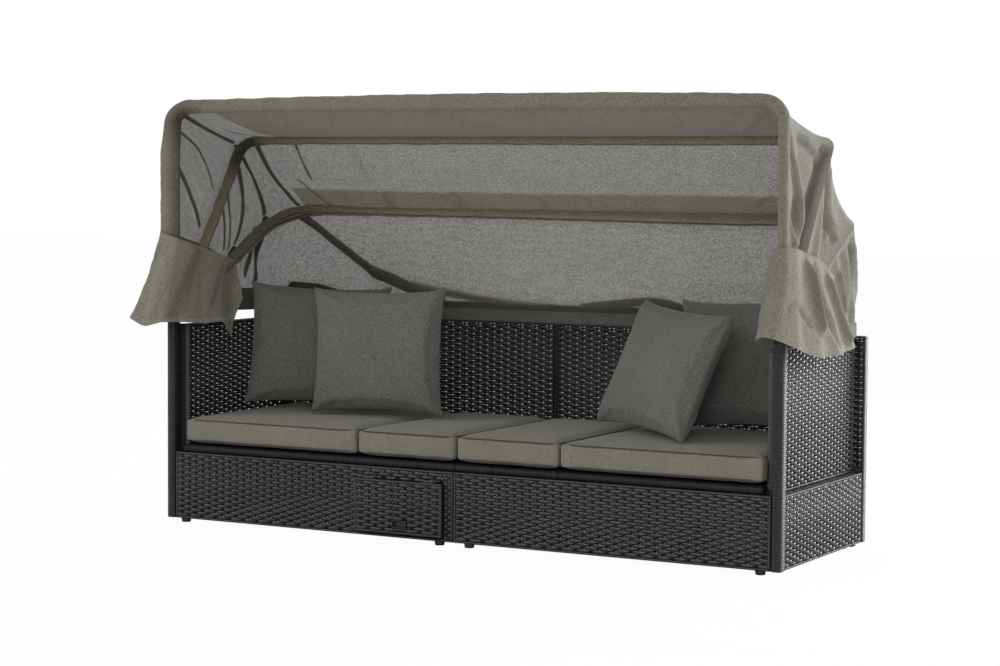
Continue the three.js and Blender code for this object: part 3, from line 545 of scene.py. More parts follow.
def make_end_panels():
    for hand, side in HANDS.items():
        node = f"end_panel_{hand}"
        plane, width, height, depth = facing_end(node, side)
        made = Collected()
        rim(made, plane, (0, 0), (width, height), depth)
        woven_field(made, plane, inside_rim(width, height), OPEN, -FIELD_SET_BACK)
        low, high = (LACING_GAP, 0, -LACING), (LACING_WIDTH, height, LACING)
        wrapped_bar(made, plane, low, high, 1, LACING_CHAMFER)
        panel_piece(f"woven_{node}", made, node)
        node = f"end_base_{hand}"
        plane, width, height, depth = facing_end(node, side)
        wall = END_BASE_WALL
        made = Collected()
        rim(made, plane, (0, 0), (width, height), wall)
        woven_field(made, plane, inside_rim(width, height), TIGHT, -FIELD_SET_BACK)
        wrapped_bar(made, plane, (0, height - wall, -depth), (width, height, -wall), 0)
        wrapped_bar(made, plane, (0, 0, -depth), (width, height - wall, wall - depth), 0)
        panel_piece(f"woven_{node}", made, node)


def make_posts_and_boards():
    for hand in HANDS:
        node = f"post_{hand}"
        plane, width, height, depth = facing_front(node)
        made = Collected()
        wrapped_bar(made, plane, (0, 0, -depth), (width, height, 0), 1, POST_CHAMFER)
        panel_piece(f"wrapped_{node}", made, node, material=POST)
        for size in ("wide", "narrow"):
            node = f"seat_board_{size}_{hand}"
            plane, width, height, depth = facing_front(node)
            made = Collected()
            wrapped_bar(made, plane, (0, 0, -depth), (width, height, 0), 0, BOARD_CHAMFER)
            panel_piece(f"wrapped_{node}", made, node, material=BOARD)


def make_flap():
    plane, width, height, depth = facing_front("flap")
    pull_low, pull_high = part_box("flap_finger_pull")
    left, right = pull_low.x - plane.origin[0], pull_high.x - plane.origin[0]
    low, high = pull_low.z - plane.origin[2], pull_high.z - plane.origin[2]
    made = Collected()
    rim(made, plane, (0, 0), (width, height), depth)
    near, bottom, far, top = inside_rim(width, height)
    for window in [(near, bottom, left, top), (right, bottom, far, top), (left, high, right, top)]:
        woven_field(made, plane, window, TIGHT, -FIELD_SET_BACK)
    wrapped_bar(made, plane, (left, bottom, -depth), (right, low, -FIELD_SET_BACK), 0)
    back = -2 * FIELD_SET_BACK
    wrapped_bar(made, plane, (near, bottom, -depth), (left, top, back), 0)
    wrapped_bar(made, plane, (right, bottom, -depth), (far, top, back), 0)
    panel_piece("woven_flap", made, "flap", body="flap")


make_front_panels()
make_back_panels()
make_end_panels()
make_posts_and_boards()
make_flap()

# Canopy: one cover in strips between the bows, with sleeves, curtain and skirts

# Points along each part of a bow, between two bows and along a fold
SIDE_STEPS = 60
CORNER_STEPS = 16
ROOF_STEPS = 300
BAY_STEPS = 70
PATH_STEPS = 40
FOLD_SPREAD = 1.35  # widens every fold of the canopy
# Cloth within so many widths of a fold is looked at, and the fold fades over so many
FOLD_NEAR = 4
FOLD_FADE = 3
# Section of a fold in its widths: a hollow beside its ridge, and the band of painted shade where
# its cloth is darkened and closed as a double layer, with a core and a soft edge
HOLLOW = {"depth": 0.4, "place": 1.7, "width": 1.4}
BAND_CORE = 0.62
BAND_EDGE = 2.3
# Ends of a fold: share of its length in which it rises, and how much of it is there at once
SHAPE_ENDS = (0.14, 0.1)
TONE_ENDS = (0.1, 0.4)
LOW_SAG = 0.55  # share of the sag at the sides that the low ends don't have

# Line of the cloth over each bow: tilt behind the vertical in degrees, reach of the
# left and right legs from the middle, radius of the corners, height of the top and of
# the lower ends above the pivot
COVER_FRONT = {"tilt": 0, "left": 1.16, "right": 1.15, "bend": 0.08, "top": 0.7168, "low": 0.27}
COVER_MIDDLE = {"tilt": 33.5, "left": 1.1525, "right": 1.1525, "bend": 0.05, "top": 0.7168, "low": 0.243}
COVER_BACK = {"tilt": 61.5, "left": 1.1502, "right": 1.1502, "bend": 0.08, "top": 0.7168, "low": 0.325}
# Middle line of the tubes, for the sleeves round them
TUBE_FRONT = {"tilt": 0, "left": 1.1353, "right": 1.1353, "bend": 0.07, "top": 0.705, "low": 0.22}
TUBE_MIDDLE = {"tilt": 33.5, "left": 1.1107, "right": 1.1107, "bend": 0.062, "top": 0.705, "low": 0.2}
TUBE_BACK = {"tilt": 61.5, "left": 1.0904, "right": 1.0904, "bend": 0.19, "top": 0.705, "low": 0.22}


def smooth(t):
    t = np.clip(t, 0, 1)
    return t * t * (3 - 2 * t)


def arch_line(cut):
    """Points (x, r) along a bow and their outward normals, from the left low end to the right."""
    halves = []
    normals = []
    straight = cut["top"] - cut["bend"]
    for hand, side in HANDS.items():
        leg, bend = cut[hand], cut["bend"]
        rise = np.linspace(cut["low"], straight, SIDE_STEPS, endpoint=False)
        turn = np.linspace(0, math.pi / 2, CORNER_STEPS, endpoint=False)
        x = np.concatenate([np.full(SIDE_STEPS, leg), leg - bend + bend * np.cos(turn)])
        r = np.concatenate([rise, straight + bend * np.sin(turn)])
        nx = np.concatenate([np.ones(SIDE_STEPS), np.cos(turn)])
        nr = np.concatenate([np.zeros(SIDE_STEPS), np.sin(turn)])
        halves.append(np.stack([side * x, r], 1))
        normals.append(np.stack([side * nx, nr], 1))
    across = np.linspace(cut["bend"] - cut["left"], cut["right"] - cut["bend"], ROOF_STEPS)
    roof = np.stack([across, np.full(ROOF_STEPS, cut["top"])], 1)
    up = np.tile((0.0, 1.0), (ROOF_STEPS, 1))
    line = np.concatenate([halves[0], roof, halves[1][::-1]])
    return line, np.concatenate([normals[0], up, normals[1][::-1]])


def swing(points, tilt):
    """Place (x, r, w) points: r along a bow that leans back by tilt, w behind its plane."""
    angle = math.radians(tilt)
    x, r, w = points[..., 0], points[..., 1], points[..., 2]
    y = PIVOT.y + r * math.sin(angle) + w * math.cos(angle)
    z = PIVOT.z + r * math.cos(angle) - w * math.sin(angle)
    return np.stack([x, y, z], -1)


def turned(vectors, tilt):
    flat = np.concatenate([vectors, np.zeros((len(vectors), 1))], 1)
    return swing(flat, tilt) - np.array(PIVOT) * (0, 1, 1)


def over_bow(cut):
    """Places of the cloth over a bow, their outward directions and the way along it from x = 0."""
    line, normal = arch_line(cut)
    top = swing(np.pad(line, ((0, 0), (0, 1))), cut["tilt"])
    along = lengths(top)
    first, last = SIDE_STEPS + CORNER_STEPS, SIDE_STEPS + CORNER_STEPS + ROOF_STEPS
    middle = np.interp(0, top[first:last, 0], along[first:last])
    return top, turned(normal, cut["tilt"]), along - middle


def lengths(line):
    steps = np.linalg.norm(np.diff(line, axis=0), axis=1)
    return np.concatenate([[0], np.cumsum(steps)])


def between(wanted, at, places):
    """Points at the wanted lengths of a line that has its places at these lengths."""
    return np.stack([np.interp(wanted, at, places[:, i]) for i in range(3)], 1)


def rounded(line, rounds):
    for _ in range(rounds):
        line[1:-1] = (line[:-2] + 2 * line[1:-1] + line[2:]) / 4
    return line


def unit(vectors):
    return vectors / np.linalg.norm(vectors, axis=-1, keepdims=True)


def sheet_faces(rows, columns):
    index = np.arange(rows * columns).reshape(rows, columns)
    quads = np.stack([index[:-1, :-1], index[:-1, 1:], index[1:, 1:], index[1:, :-1]], -1)
    return quads.reshape(-1, 4).tolist()


def waves(points, seed, scale, stretch=(1, 1, 1)):
    """Soft seeded unevenness of cloth, from -1 to 1."""
    offset = Vector((seed * 7.3, seed * 3.1, seed * 5.7))
    flat = points.reshape(-1, 3) * (np.array(stretch) * scale)
    found = [noise.noise(Vector(point) + offset) for point in flat]
    return np.array(found).reshape(points.shape[:-1])


# Unevenness of each cloth: height and fineness of its soft swells, then of its crinkles
UNEVEN = {
    "bay": (0.0035, 9, 0.0011, 42), "sleeve": (0.0022, 14, 0.0012, 45),
    "curtain": (0.006, 6, 0.0012, 40), "skirt": (0.006, 8, 0.0015, 40)}


def uneven(points, cloth, seeds, stretch=(1, 1, 1)):
    swell, wide, crinkle, fine = UNEVEN[cloth]
    swells = swell * waves(points, seeds[0], wide, stretch)
    return swells + crinkle * waves(points, seeds[1], fine)


def path_on(grid, along, places):
    """Rounded line on a grid of cloth through places (metres along it, share down it)."""
    places = np.array(places, float)
    at = np.linspace(0, 1, len(places))
    wanted = np.linspace(0, 1, PATH_STEPS)
    column = np.interp(np.interp(wanted, at, places[:, 0]), along, np.arange(len(along)))
    row = np.interp(wanted, at, places[:, 1]) * (len(grid) - 1)
    i = np.clip(column.astype(int), 0, grid.shape[1] - 2)
    j = np.clip(row.astype(int), 0, grid.shape[0] - 2)
    a, b = (column - i)[:, None], (row - j)[:, None]
    near = (1 - a) * grid[j, i] + a * grid[j, i + 1]
    far = (1 - a) * grid[j + 1, i] + a * grid[j + 1, i + 1]
    return rounded((1 - b) * near + b * far, 20)


def both_ends(share, ends):
    return smooth(share / ends[0] + ends[1]) * smooth((1 - share) / ends[0] + ends[1])


def folded(grid, normals, along, folds):
    """Outward shift of a grid of cloth by its folds, and each point's painted shade and doubling.

    A fold is its places, width, height (inward below zero) and its tone of painted shade and doubling."""
    shift = np.zeros(grid.shape[:2])
    doubled_and_shade = np.zeros(grid.shape[:2])
    for places, width, height, tone in folds:
        width = width * FOLD_SPREAD
        path = path_on(grid, along, places)
        run = unit(np.gradient(path, axis=0))
        low, high = path.min(0) - FOLD_NEAR * width, path.max(0) + FOLD_NEAR * width
        near = ((grid > low) & (grid < high)).all(-1)
        points = grid[near]
        gaps = np.linalg.norm(points[:, None] - path, axis=-1)
        nearest = gaps.argmin(-1)
        side = np.cross(normals[near], run[nearest])
        off = ((points - path[nearest]) * side).sum(-1) / width
        share = nearest / (PATH_STEPS - 1)
        near_path = np.exp(-((gaps.min(-1) / (FOLD_FADE * width)) ** 2))
        hollow = np.exp(-(((off - HOLLOW["place"]) / HOLLOW["width"]) ** 2))
        ridge = np.exp(-(off ** 2)) - HOLLOW["depth"] * hollow
        shift[near] += height * both_ends(share, SHAPE_ENDS) * near_path * ridge
        core, edge = np.exp(-(off ** 4)), np.exp(-((off / BAND_EDGE) ** 2))
        band = BAND_CORE * core + (1 - BAND_CORE) * edge
        band = tone * both_ends(share, TONE_ENDS) * near_path * band
        doubled_and_shade[near] = np.maximum(doubled_and_shade[near], band)
    return shift, doubled_and_shade


def cloth_piece(name, points, material, body, replaced, doubled_and_shade, lined=0.0):
    """Sheet of cloth from rows of points, marked for painted shade and double layers, and where it is lined."""
    rows, columns = points.shape[:2]
    piece = add_piece(name, points, sheet_faces(rows, columns), material, body, replaced)
    for mark, values in ((DOUBLED_AND_SHADE, doubled_and_shade), (LINED, lined)):
        values = np.zeros((rows, columns)) + values
        piece.data.attributes.new(mark, "FLOAT", "POINT").data.foreach_set("value", values.ravel())
    return piece


def two_layers_and_shade(along, layers):
    tone, start, length = layers
    return tone * smooth((start - along) / length)


def bay(first, second, sags, folds, left, seed):
    """Cloth between two bows, as a sagging grid with its folds, and its painted shade and doubling."""
    a, out_a, along = over_bow(first)
    b, out_b, _ = over_bow(second)
    v = np.linspace(0, 1, BAY_STEPS)[:, None]
    share = v[..., None]
    points = (1 - share) * a + share * b
    normals = unit((1 - share) * out_a + share * out_b)
    columns = len(a)
    down = np.zeros(columns)
    down[:SIDE_STEPS] = np.linspace(1, 0, SIDE_STEPS)
    down[-SIDE_STEPS:] = np.linspace(0, 1, SIDE_STEPS)
    side = smooth(np.abs(out_a[:, 0]))
    middle = np.clip(4 * v * (1 - v), 0, 1)
    sag = sags[0] * (1 - side) + sags[1] * side * (1 - LOW_SAG * down)
    shift, doubled_and_shade = folded(points, normals, along, folds)
    doubled_and_shade = np.maximum(doubled_and_shade, two_layers_and_shade(along, left))
    shift = shift * np.sqrt(middle) - middle ** 0.8 * sag
    shift += uneven(points, "bay", (seed, seed + 1), (0.7, 1.4, 1.4)) * middle
    return points + shift[..., None] * normals, doubled_and_shade, along, v


# The left side hangs in two layers and is painted darker as painted shade: how dark and closed
# it is, where along the bow that starts and over what length
LEFT_FRONT = (0.4, -1.1, 0.08)
LEFT_MIDDLE = (0.5, -0.95, 0.2)
LEFT_CURTAIN = (0.5, -1.06, 0.12)
LEFT_LINED = 0.3  # and it is partly lined
# Folds: places (metres along the bow from its middle, share of the way to the next bow),
# width, height and the tone of painted shade along it, which also closes the cloth as a double layer
FRONT_FOLDS = [
    ([(-1.14, 0.05), (-1.15, 0.58), (-1.16, 1.0)], 0.008, -0.007, 0.85),
    ([(-1.13, 0.2), (-1.13, 0.96)], 0.006, 0.003, 0.5),
    ([(-1.19, 0.12), (-1.235, 0.6), (-1.245, 1.0)], 0.010, 0.010, 0.4),
    ([(-1.21, 0.08), (-1.25, 0.43), (-1.37, 1.0)], 0.009, 0.010, 0.62),
    ([(-1.33, 0.1), (-1.44, 0.58), (-1.5, 1.0)], 0.011, 0.010, 0.72),
    ([(-1.28, 0.05), (-1.35, 0.59)], 0.012, -0.006, 0.2),
    ([(-1.47, 0.3), (-1.54, 0.77)], 0.006, 0.006, 0.55),
    ([(-1.1, 0.3), (-1.07, 0.68), (-0.98, 0.97)], 0.012, -0.008, 0.35),
    ([(-1.08, 0.25), (-1.0, 0.7), (-0.88, 0.97)], 0.014, -0.005, 0.15),
    ([(-0.2, 0.1), (0.12, 0.9)], 0.02, 0.006, 0.0),
    ([(0.82, 0.85), (1.06, 0.1)], 0.014, -0.010, 0.15),
    ([(1.21, 0.35), (1.23, 0.72), (1.26, 0.95)], 0.012, -0.010, 0.3),
    ([(1.18, 0.94), (1.27, 0.9), (1.4, 0.86), (1.56, 0.86)], 0.020, -0.044, 0.1),
    ([(1.2, 0.97), (1.27, 0.93), (1.4, 0.9), (1.56, 0.88)], 0.006, -0.003, 0.6),
    ([(1.2, 0.05), (1.33, 0.28), (1.38, 0.42), (1.5, 0.5)], 0.016, -0.016, 0.3),
    ([(1.27, 0.2), (1.42, 0.62), (1.55, 0.66)], 0.024, 0.016, 0.0),
    ([(1.45, 0.04), (1.49, 0.25), (1.54, 0.55)], 0.010, 0.010, 0.2),
]
MIDDLE_FOLDS = [
    ([(-1.155, 0.0), (-1.17, 0.52), (-1.17, 1.0)], 0.009, -0.012, 0.95),
    ([(-1.19, 0.05), (-1.28, 0.48), (-1.46, 1.0)], 0.008, -0.010, 0.85),
    ([(-1.36, 0.1), (-1.43, 0.42), (-1.54, 0.87)], 0.006, 0.008, 0.75),
    ([(-1.3, 0.1), (-1.37, 0.38), (-1.52, 1.0)], 0.006, 0.007, 0.7),
    ([(-1.29, 0.52), (-1.24, 0.48), (-1.17, 0.58)], 0.005, 0.003, 0.2),
    ([(-1.24, 0.65), (-1.24, 0.98)], 0.010, 0.006, 0.5),
    ([(-1.21, 0.1), (-1.31, 0.7), (-1.4, 1.0)], 0.006, 0.005, 0.45),
    ([(-1.11, 0.04), (-1.11, 0.45), (-1.1, 0.95)], 0.009, 0.010, 0.5),
    ([(-1.07, 0.04), (-1.07, 0.49), (-1.05, 0.98)], 0.010, -0.012, 0.85),
    ([(-1.0, 0.04), (-0.97, 0.57)], 0.014, -0.006, 0.3),
    ([(-0.97, 0.5), (-0.9, 0.97)], 0.006, -0.008, 0.65),
    ([(-0.9, 0.02), (-0.91, 0.56)], 0.006, -0.009, 0.7),
    ([(-0.67, 0.1), (-0.67, 0.45), (-0.65, 0.62), (-0.63, 0.97)], 0.010, -0.010, 0.35),
    ([(-0.42, 0.5), (-0.39, 0.74), (-0.33, 0.99)], 0.011, -0.010, 0.3),
    ([(-0.35, 0.7), (-0.31, 0.98)], 0.010, 0.007, 0.25),
    ([(-0.05, 0.65), (0.03, 0.97)], 0.014, -0.006, 0.1),
    ([(0.35, 0.6), (0.42, 0.97)], 0.014, -0.006, 0.08),
    ([(0.8, 0.9), (1.05, 0.1)], 0.012, -0.010, 0.15),
    ([(1.2, 0.1), (1.32, 0.55), (1.35, 0.9)], 0.020, -0.022, 0.25),
    ([(1.38, 0.62), (1.3, 0.98)], 0.012, 0.010, 0.2),
    ([(1.29, 0.05), (1.4, 0.4), (1.55, 0.6)], 0.018, 0.012, 0.0),
]
CURTAIN_FOLDS = [
    ([(-1.06, 0.0), (-1.0, 0.12), (-0.88, 0.39), (-0.74, 0.62), (-0.66, 0.73)], 0.017, -0.024, 0.85),
    ([(-0.74, 0.62), (-0.66, 0.71), (-0.58, 0.79), (-0.51, 0.84), (-0.4, 0.9)], 0.024, -0.02, 0.7),
    ([(-0.74, 0.64), (-0.69, 0.83)], 0.008, -0.007, 0.55),
    ([(-0.58, 0.76), (-0.47, 0.81), (-0.33, 0.88), (-0.09, 0.95), (0.05, 0.96)], 0.024, -0.012, 0.6),
    ([(-0.38, 0.82), (-0.31, 0.98)], 0.012, 0.008, 0.0),
    ([(-1.165, 0.0), (-1.24, 0.35), (-1.32, 0.95)], 0.010, -0.012, 0.95),
    ([(-1.24, 0.0), (-1.37, 0.8)], 0.008, -0.008, 0.75),
    ([(-1.38, 0.1), (-1.47, 0.7)], 0.008, -0.007, 0.7),
    ([(-1.39, 0.0), (-1.49, 0.5)], 0.009, 0.008, 0.8),
    ([(-1.29, 0.0), (-1.42, 0.9)], 0.006, 0.005, 0.5),
    ([(-1.1, 0.15), (-1.16, 0.9)], 0.005, -0.005, 0.5),
    ([(-0.89, 0.5), (-0.93, 0.9)], 0.005, -0.004, 0.35),
    ([(0.1, 0.96), (0.33, 0.87), (0.43, 0.86), (0.55, 0.95)], 0.020, -0.014, 0.65),
    ([(-0.2, 0.96), (-0.03, 0.95), (0.18, 0.96)], 0.022, -0.010, 0.5),
    ([(0.5, 0.8), (0.62, 0.72), (0.8, 0.7)], 0.020, -0.010, 0.25),
    ([(0.6, 0.95), (0.75, 0.88), (1.0, 0.93)], 0.020, -0.010, 0.3),
    ([(1.36, 0.2), (1.32, 0.85)], 0.012, 0.010, 0.3),
    ([(1.22, 0.1), (1.26, 0.9)], 0.016, -0.012, 0.25),
    ([(1.44, 0.1), (1.42, 0.9)], 0.014, -0.010, 0.2),
]
# How far the cloth between two bows sags in the roof and at the sides
FRONT_SAG = (0.016, 0.028)
MIDDLE_SAG = (0.014, 0.034)
# The middle strip is lined behind this share of its width, at places along the bow
LINED_FROM = [(-1.04, 0.52), (-0.78, 0.55), (-0.14, 0.57), (1.06, 0.57)]
LINED_HALF = 1.07
LINED_EDGE = 0.03
LEFT_EDGE = 0.04


def make_roof():
    points, doubled_and_shade, along, v = bay(COVER_FRONT, COVER_MIDDLE, FRONT_SAG, FRONT_FOLDS, LEFT_FRONT, 1)
    left = LEFT_LINED * smooth((-LINED_HALF - along) / LEFT_EDGE)
    from_left = smooth((along + LINED_HALF - 0.1 * v) / LINED_EDGE)
    lined = np.maximum(from_left * smooth((LINED_HALF - along) / LINED_EDGE), left)
    piece = cloth_piece("canopy_front_strip", points, CANOPY, None, ["cover_front"],
                        doubled_and_shade, lined)
    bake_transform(piece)
    seam = [(LINED_FROM, 0.003, -0.002, 0.35)]
    points, doubled_and_shade, along, v = bay(COVER_MIDDLE, COVER_BACK, MIDDLE_SAG, MIDDLE_FOLDS + seam,
                                    LEFT_MIDDLE, 2)
    start = np.interp(along, *np.array(LINED_FROM).T)
    lined = smooth((v - start + 0.04) / 0.22) * smooth((LINED_HALF - np.abs(along)) / 0.05)
    lined = np.maximum(lined, left)
    piece = cloth_piece("canopy_middle_strip", points, CANOPY, None, ["cover_middle"],
                        doubled_and_shade, lined)
    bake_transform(piece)


# Sleeves: (share of the way along the bow, how far the cloth stands outward and inward of
# the tube, half its thickness, its tone of painted shade and double layers, highest round the left
# corners), after the tube and the painted shade on the side towards the seat
SLEEVES = {
    "front": (TUBE_FRONT, 0.45, [
        (0.0, 0.052, 0.026, 0.0165, 0.05), (0.1, 0.052, 0.027, 0.0165, 0.05),
        (0.13, 0.036, 0.032, 0.018, 0.35), (0.155, 0.018, 0.036, 0.018, 0.45),
        (0.18, 0.016, 0.03, 0.0165, 0.15), (0.25, 0.020, 0.027, 0.0165, 0.0),
        (0.5, 0.028, 0.027, 0.0165, 0.0), (0.7, 0.025, 0.028, 0.0165, 0.0),
        (0.82, 0.018, 0.026, 0.0165, 0.05), (0.86, 0.016, 0.02, 0.0165, 0.0),
        (1.0, 0.018, 0.014, 0.0165, 0.0)]),
    "middle": (TUBE_MIDDLE, 0.15, [
        (0.0, 0.016, 0.022, 0.016, 0.12), (0.1, 0.016, 0.022, 0.015, 0.15),
        (0.128, 0.022, 0.022, 0.016, 0.8), (0.165, 0.018, 0.020, 0.016, 0.8),
        (0.185, 0.013, 0.016, 0.013, 0.2), (0.3, 0.013, 0.014, 0.013, 0.0),
        (0.5, 0.013, 0.016, 0.013, 0.0), (0.75, 0.013, 0.018, 0.013, 0.0),
        (1.0, 0.012, 0.02, 0.013, 0.0)]),
    "back": (TUBE_BACK, 0.15, [
        (0.0, 0.016, 0.022, 0.020, 0.45), (0.1, 0.028, 0.018, 0.022, 0.45),
        (0.15, 0.040, 0.004, 0.022, 0.4), (0.2, 0.024, 0.016, 0.020, 0.3),
        (0.25, 0.014, 0.020, 0.014, 0.1), (0.5, 0.013, 0.034, 0.013, 0.0),
        (0.75, 0.013, 0.052, 0.013, 0.0), (0.82, 0.012, 0.046, 0.013, 0.0),
        (1.0, 0.012, 0.02, 0.013, 0.05)]),
}
HEM_TONE = {"front": 0.0, "middle": 0.25, "back": 0.45}  # how much darker the inward edge of each sleeve is past its left leg
SLEEVE_SLIT = 0.06  # half the angle between the two edges of a sleeve
SLEEVE_SIDES = 20
SLEEVE_POWER = 0.7  # below 1 its section is squarer than an ellipse
SLEEVE_LEG = 0.2  # share of the way along a bow that counts as its left side
PUCKERS = (0.08, 60)  # regular ones: share of the thickness, and radians in a metre


def make_sleeves():
    around = np.linspace(-math.pi + SLEEVE_SLIT, math.pi - SLEEVE_SLIT, SLEEVE_SIDES)
    for place, (cut, painted_inner_shade, extents) in SLEEVES.items():
        line, normal = arch_line(cut)
        along = lengths(line)
        knots = np.array(extents)
        share = along / along[-1]
        outward, inward, thick, tone = (np.interp(share, knots[:, 0], knots[:, i]) for i in (1, 2, 3, 4))
        world = swing(np.pad(line, ((0, 0), (0, 1))), cut["tilt"])
        soft = uneven(world, "sleeve", (5, 6))
        middle, half = (outward - inward) / 2 + soft, (outward + inward) / 2
        section = np.sign(np.cos(around)) * np.abs(np.cos(around)) ** SLEEVE_POWER
        reach = middle[:, None] + half[:, None] * section
        points = np.zeros((len(line), len(around), 3))
        points[..., :2] = line[:, None] + reach[..., None] * normal[:, None]
        puckers = 1 + PUCKERS[0] * np.sin(along * PUCKERS[1]) + 0.1 * waves(world, 7, 30)
        points[..., 2] = np.sin(around) * (thick * puckers)[:, None]
        points = swing(points, cut["tilt"])
        # Painted shade: darker round the left corners, along the inner edge and on the side towards the seat
        leg = smooth((SLEEVE_LEG - share) / 0.04)
        inner = smooth(-np.cos(around) * 3)
        doubled_and_shade = tone[:, None] + painted_inner_shade * leg[:, None] * inner
        hem = smooth(-np.cos(around) * 12 - 11) * smooth((share - SLEEVE_LEG) / 0.05)[:, None]
        doubled_and_shade = np.maximum(doubled_and_shade, HEM_TONE[place] * hem)
        material = SLEEVE if place == "front" else CANOPY
        cloth_piece(f"canopy_{place}_sleeve", points, material, f"bow_{place}", [],
                    doubled_and_shade, 1.0)


# Curtain: hangs from the back bow to a hem along the back panels and round both ends.
# Places of its hem (x, y, z), left end to right end
CURTAIN_HEM = [
    (-1.09, -0.05, 0.805), (-1.10, 0.10, 0.80), (-1.12, 0.25, 0.80), (-1.10, 0.385, 0.795),
    (-0.98, 0.400, 0.788), (-0.88, 0.400, 0.762), (-0.78, 0.400, 0.744), (-0.5, 0.400, 0.738),
    (0.0, 0.400, 0.738), (1.0, 0.400, 0.737), (1.12, 0.385, 0.737), (1.15, 0.25, 0.737),
    (1.155, 0.10, 0.74), (1.15, 0.0, 0.745)]
BAND_HEIGHTS = [(-1.12, 0.08), (-0.95, 0.072), (-0.8, 0.046), (1.2, 0.042)]
CURTAIN_STEPS = 64
CURTAIN_BULGE = 0.006
ROLL = 0.016  # the cloth droops this far over its hem
# Shares of the way down: where it starts to droop, where the painted shade under the droop and
# the lining start, and in what share each grows
ROLL_SHARES = (0.62, 0.26)
ROLL_SHADE_SHARES = (0.84, 0.12)
LINED_SHARES = (0.8, 0.12)
ROLL_SHADE_TONE = 0.7
LINED_TONE = 0.9
BACK_FROM = (0.3, 0.08)  # y where the part behind the back panels starts, and its change
PLEAT_DEPTH = 0.006
BAND_STEPS = 9
BAND_OUT = 0.003


def along_path(places, shares):
    places = np.array(places, float)
    at = lengths(places)
    return rounded(between(shares * at[-1], at, places), 12)


def rising(value, part):
    return smooth((value - part[0]) / part[1])


def make_curtain():
    top, outward, along = over_bow(COVER_BACK)
    hem = along_path(CURTAIN_HEM, (along - along[0]) / (along[-1] - along[0]))
    share = np.linspace(0, 1, CURTAIN_STEPS)[:, None]
    w = share[..., None]
    points = (1 - w) * top + w * hem
    facing = np.stack([-np.gradient(hem[:, 1]), np.gradient(hem[:, 0]), np.zeros(len(hem))], 1)
    facing = unit(facing)
    out = unit((1 - w) * outward + w * facing)
    shift, doubled_and_shade = folded(points, out, along, CURTAIN_FOLDS)
    held = smooth(share / 0.12) * smooth((1 - share) / 0.04)
    back = rising(hem[:, 1], BACK_FROM)
    shift = shift * held + CURTAIN_BULGE * np.sin(math.pi * share)
    shift -= ROLL * rising(share, ROLL_SHARES) * smooth((1 - share) / 0.07) * back
    side = 1 - back
    shift += side * PLEAT_DEPTH * np.sin(along * 70 + 3 * share) * held
    shift += uneven(points, "curtain", (8, 9), (1.3, 1, 0.5)) * held
    # Painted shade on the lower part behind the back panels, under the droop over the hem
    under = ROLL_SHADE_TONE * rising(share, ROLL_SHADE_SHARES) * back
    left = two_layers_and_shade(along, LEFT_CURTAIN)
    points = points + shift[..., None] * out
    lined = np.maximum(LINED_TONE * rising(share, LINED_SHARES) * back, left * LEFT_LINED)
    piece = cloth_piece("canopy_curtain", points, CANOPY, "bow_back", ["cover_back"],
                        np.maximum(np.maximum(doubled_and_shade, under), left), lined)
    pressed_flat(piece)
    drop = np.linspace(0, 1, BAND_STEPS)[:, None, None]
    knots = np.array(BAND_HEIGHTS)
    height = np.interp(hem[:, 0], knots[:, 0], knots[:, 1])
    band = hem - drop * height[:, None] * np.array((0, 0, 1.0)) + BAND_OUT * facing
    band = band + (0.002 * waves(band, 10, 12))[..., None] * facing
    # Painted shade: the hem band is darker at its left end
    dark = np.interp(hem[:, 0], [-0.9, -0.7], [0.7, 0.0]) * np.ones((len(band), 1))
    piece = cloth_piece("canopy_hem_band", band, BAND, "bow_back", [],
                        dark)
    pressed_flat(piece)


def pressed_flat(piece):
    """Gives the cloth a mesh of its own."""
    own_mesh(piece)


# Skirts: each wraps the feet of the bows, from its free inner edge round the front leg
# and back along the outside. Places (seam) and (hem) in the same order, for each side
SKIRT_STEPS = 50
SKIRT_COLUMNS = 260
SKIRTS = {
    "left": [
        ((-1.0724, -0.02, 0.905), (-1.05, -0.02, 0.77)),
        ((-1.0724, -0.06, 0.912), (-1.047, -0.085, 0.63)),
        ((-1.0724, -0.12, 0.93), (-1.047, -0.15, 0.695)),
        ((-1.0724, -0.18, 0.945), (-1.047, -0.24, 0.69)),
        ((-1.08, -0.29, 0.975), (-1.06, -0.35, 0.70)),
        ((-1.10, -0.335, 0.99), (-1.12, -0.405, 0.70)),
        ((-1.15, -0.34, 1.005), (-1.19, -0.405, 0.682)),
        ((-1.18, -0.33, 1.015), (-1.262, -0.39, 0.712)),
        ((-1.182, -0.28, 1.01), (-1.27, -0.31, 0.70)),
        ((-1.165, -0.18, 0.98), (-1.25, -0.2, 0.69)),
        ((-1.158, -0.08, 0.955), (-1.255, -0.06, 0.692)),
        ((-1.155, 0.0, 0.92), (-1.24, 0.06, 0.69)),
        ((-1.15, 0.05, 0.90), (-1.22, 0.14, 0.69)),
    ],
    "right": [
        ((1.0724, -0.02, 0.905), (1.05, -0.02, 0.77)),
        ((1.0724, -0.06, 0.912), (1.047, -0.085, 0.7)),
        ((1.0724, -0.12, 0.93), (1.047, -0.15, 0.70)),
        ((1.0724, -0.18, 0.945), (1.047, -0.24, 0.70)),
        ((1.085, -0.29, 0.985), (1.06, -0.35, 0.72)),
        ((1.12, -0.335, 1.0), (1.105, -0.405, 0.736)),
        ((1.158, -0.333, 1.005), (1.15, -0.41, 0.73)),
        ((1.172, -0.28, 1.0), (1.205, -0.33, 0.695)),
        ((1.165, -0.18, 0.98), (1.22, -0.22, 0.665)),
        ((1.165, -0.08, 0.965), (1.235, -0.08, 0.665)),
        ((1.165, 0.0, 0.93), (1.225, 0.04, 0.672)),
        ((1.16, 0.06, 0.905), (1.2, 0.14, 0.678)),
    ],
}
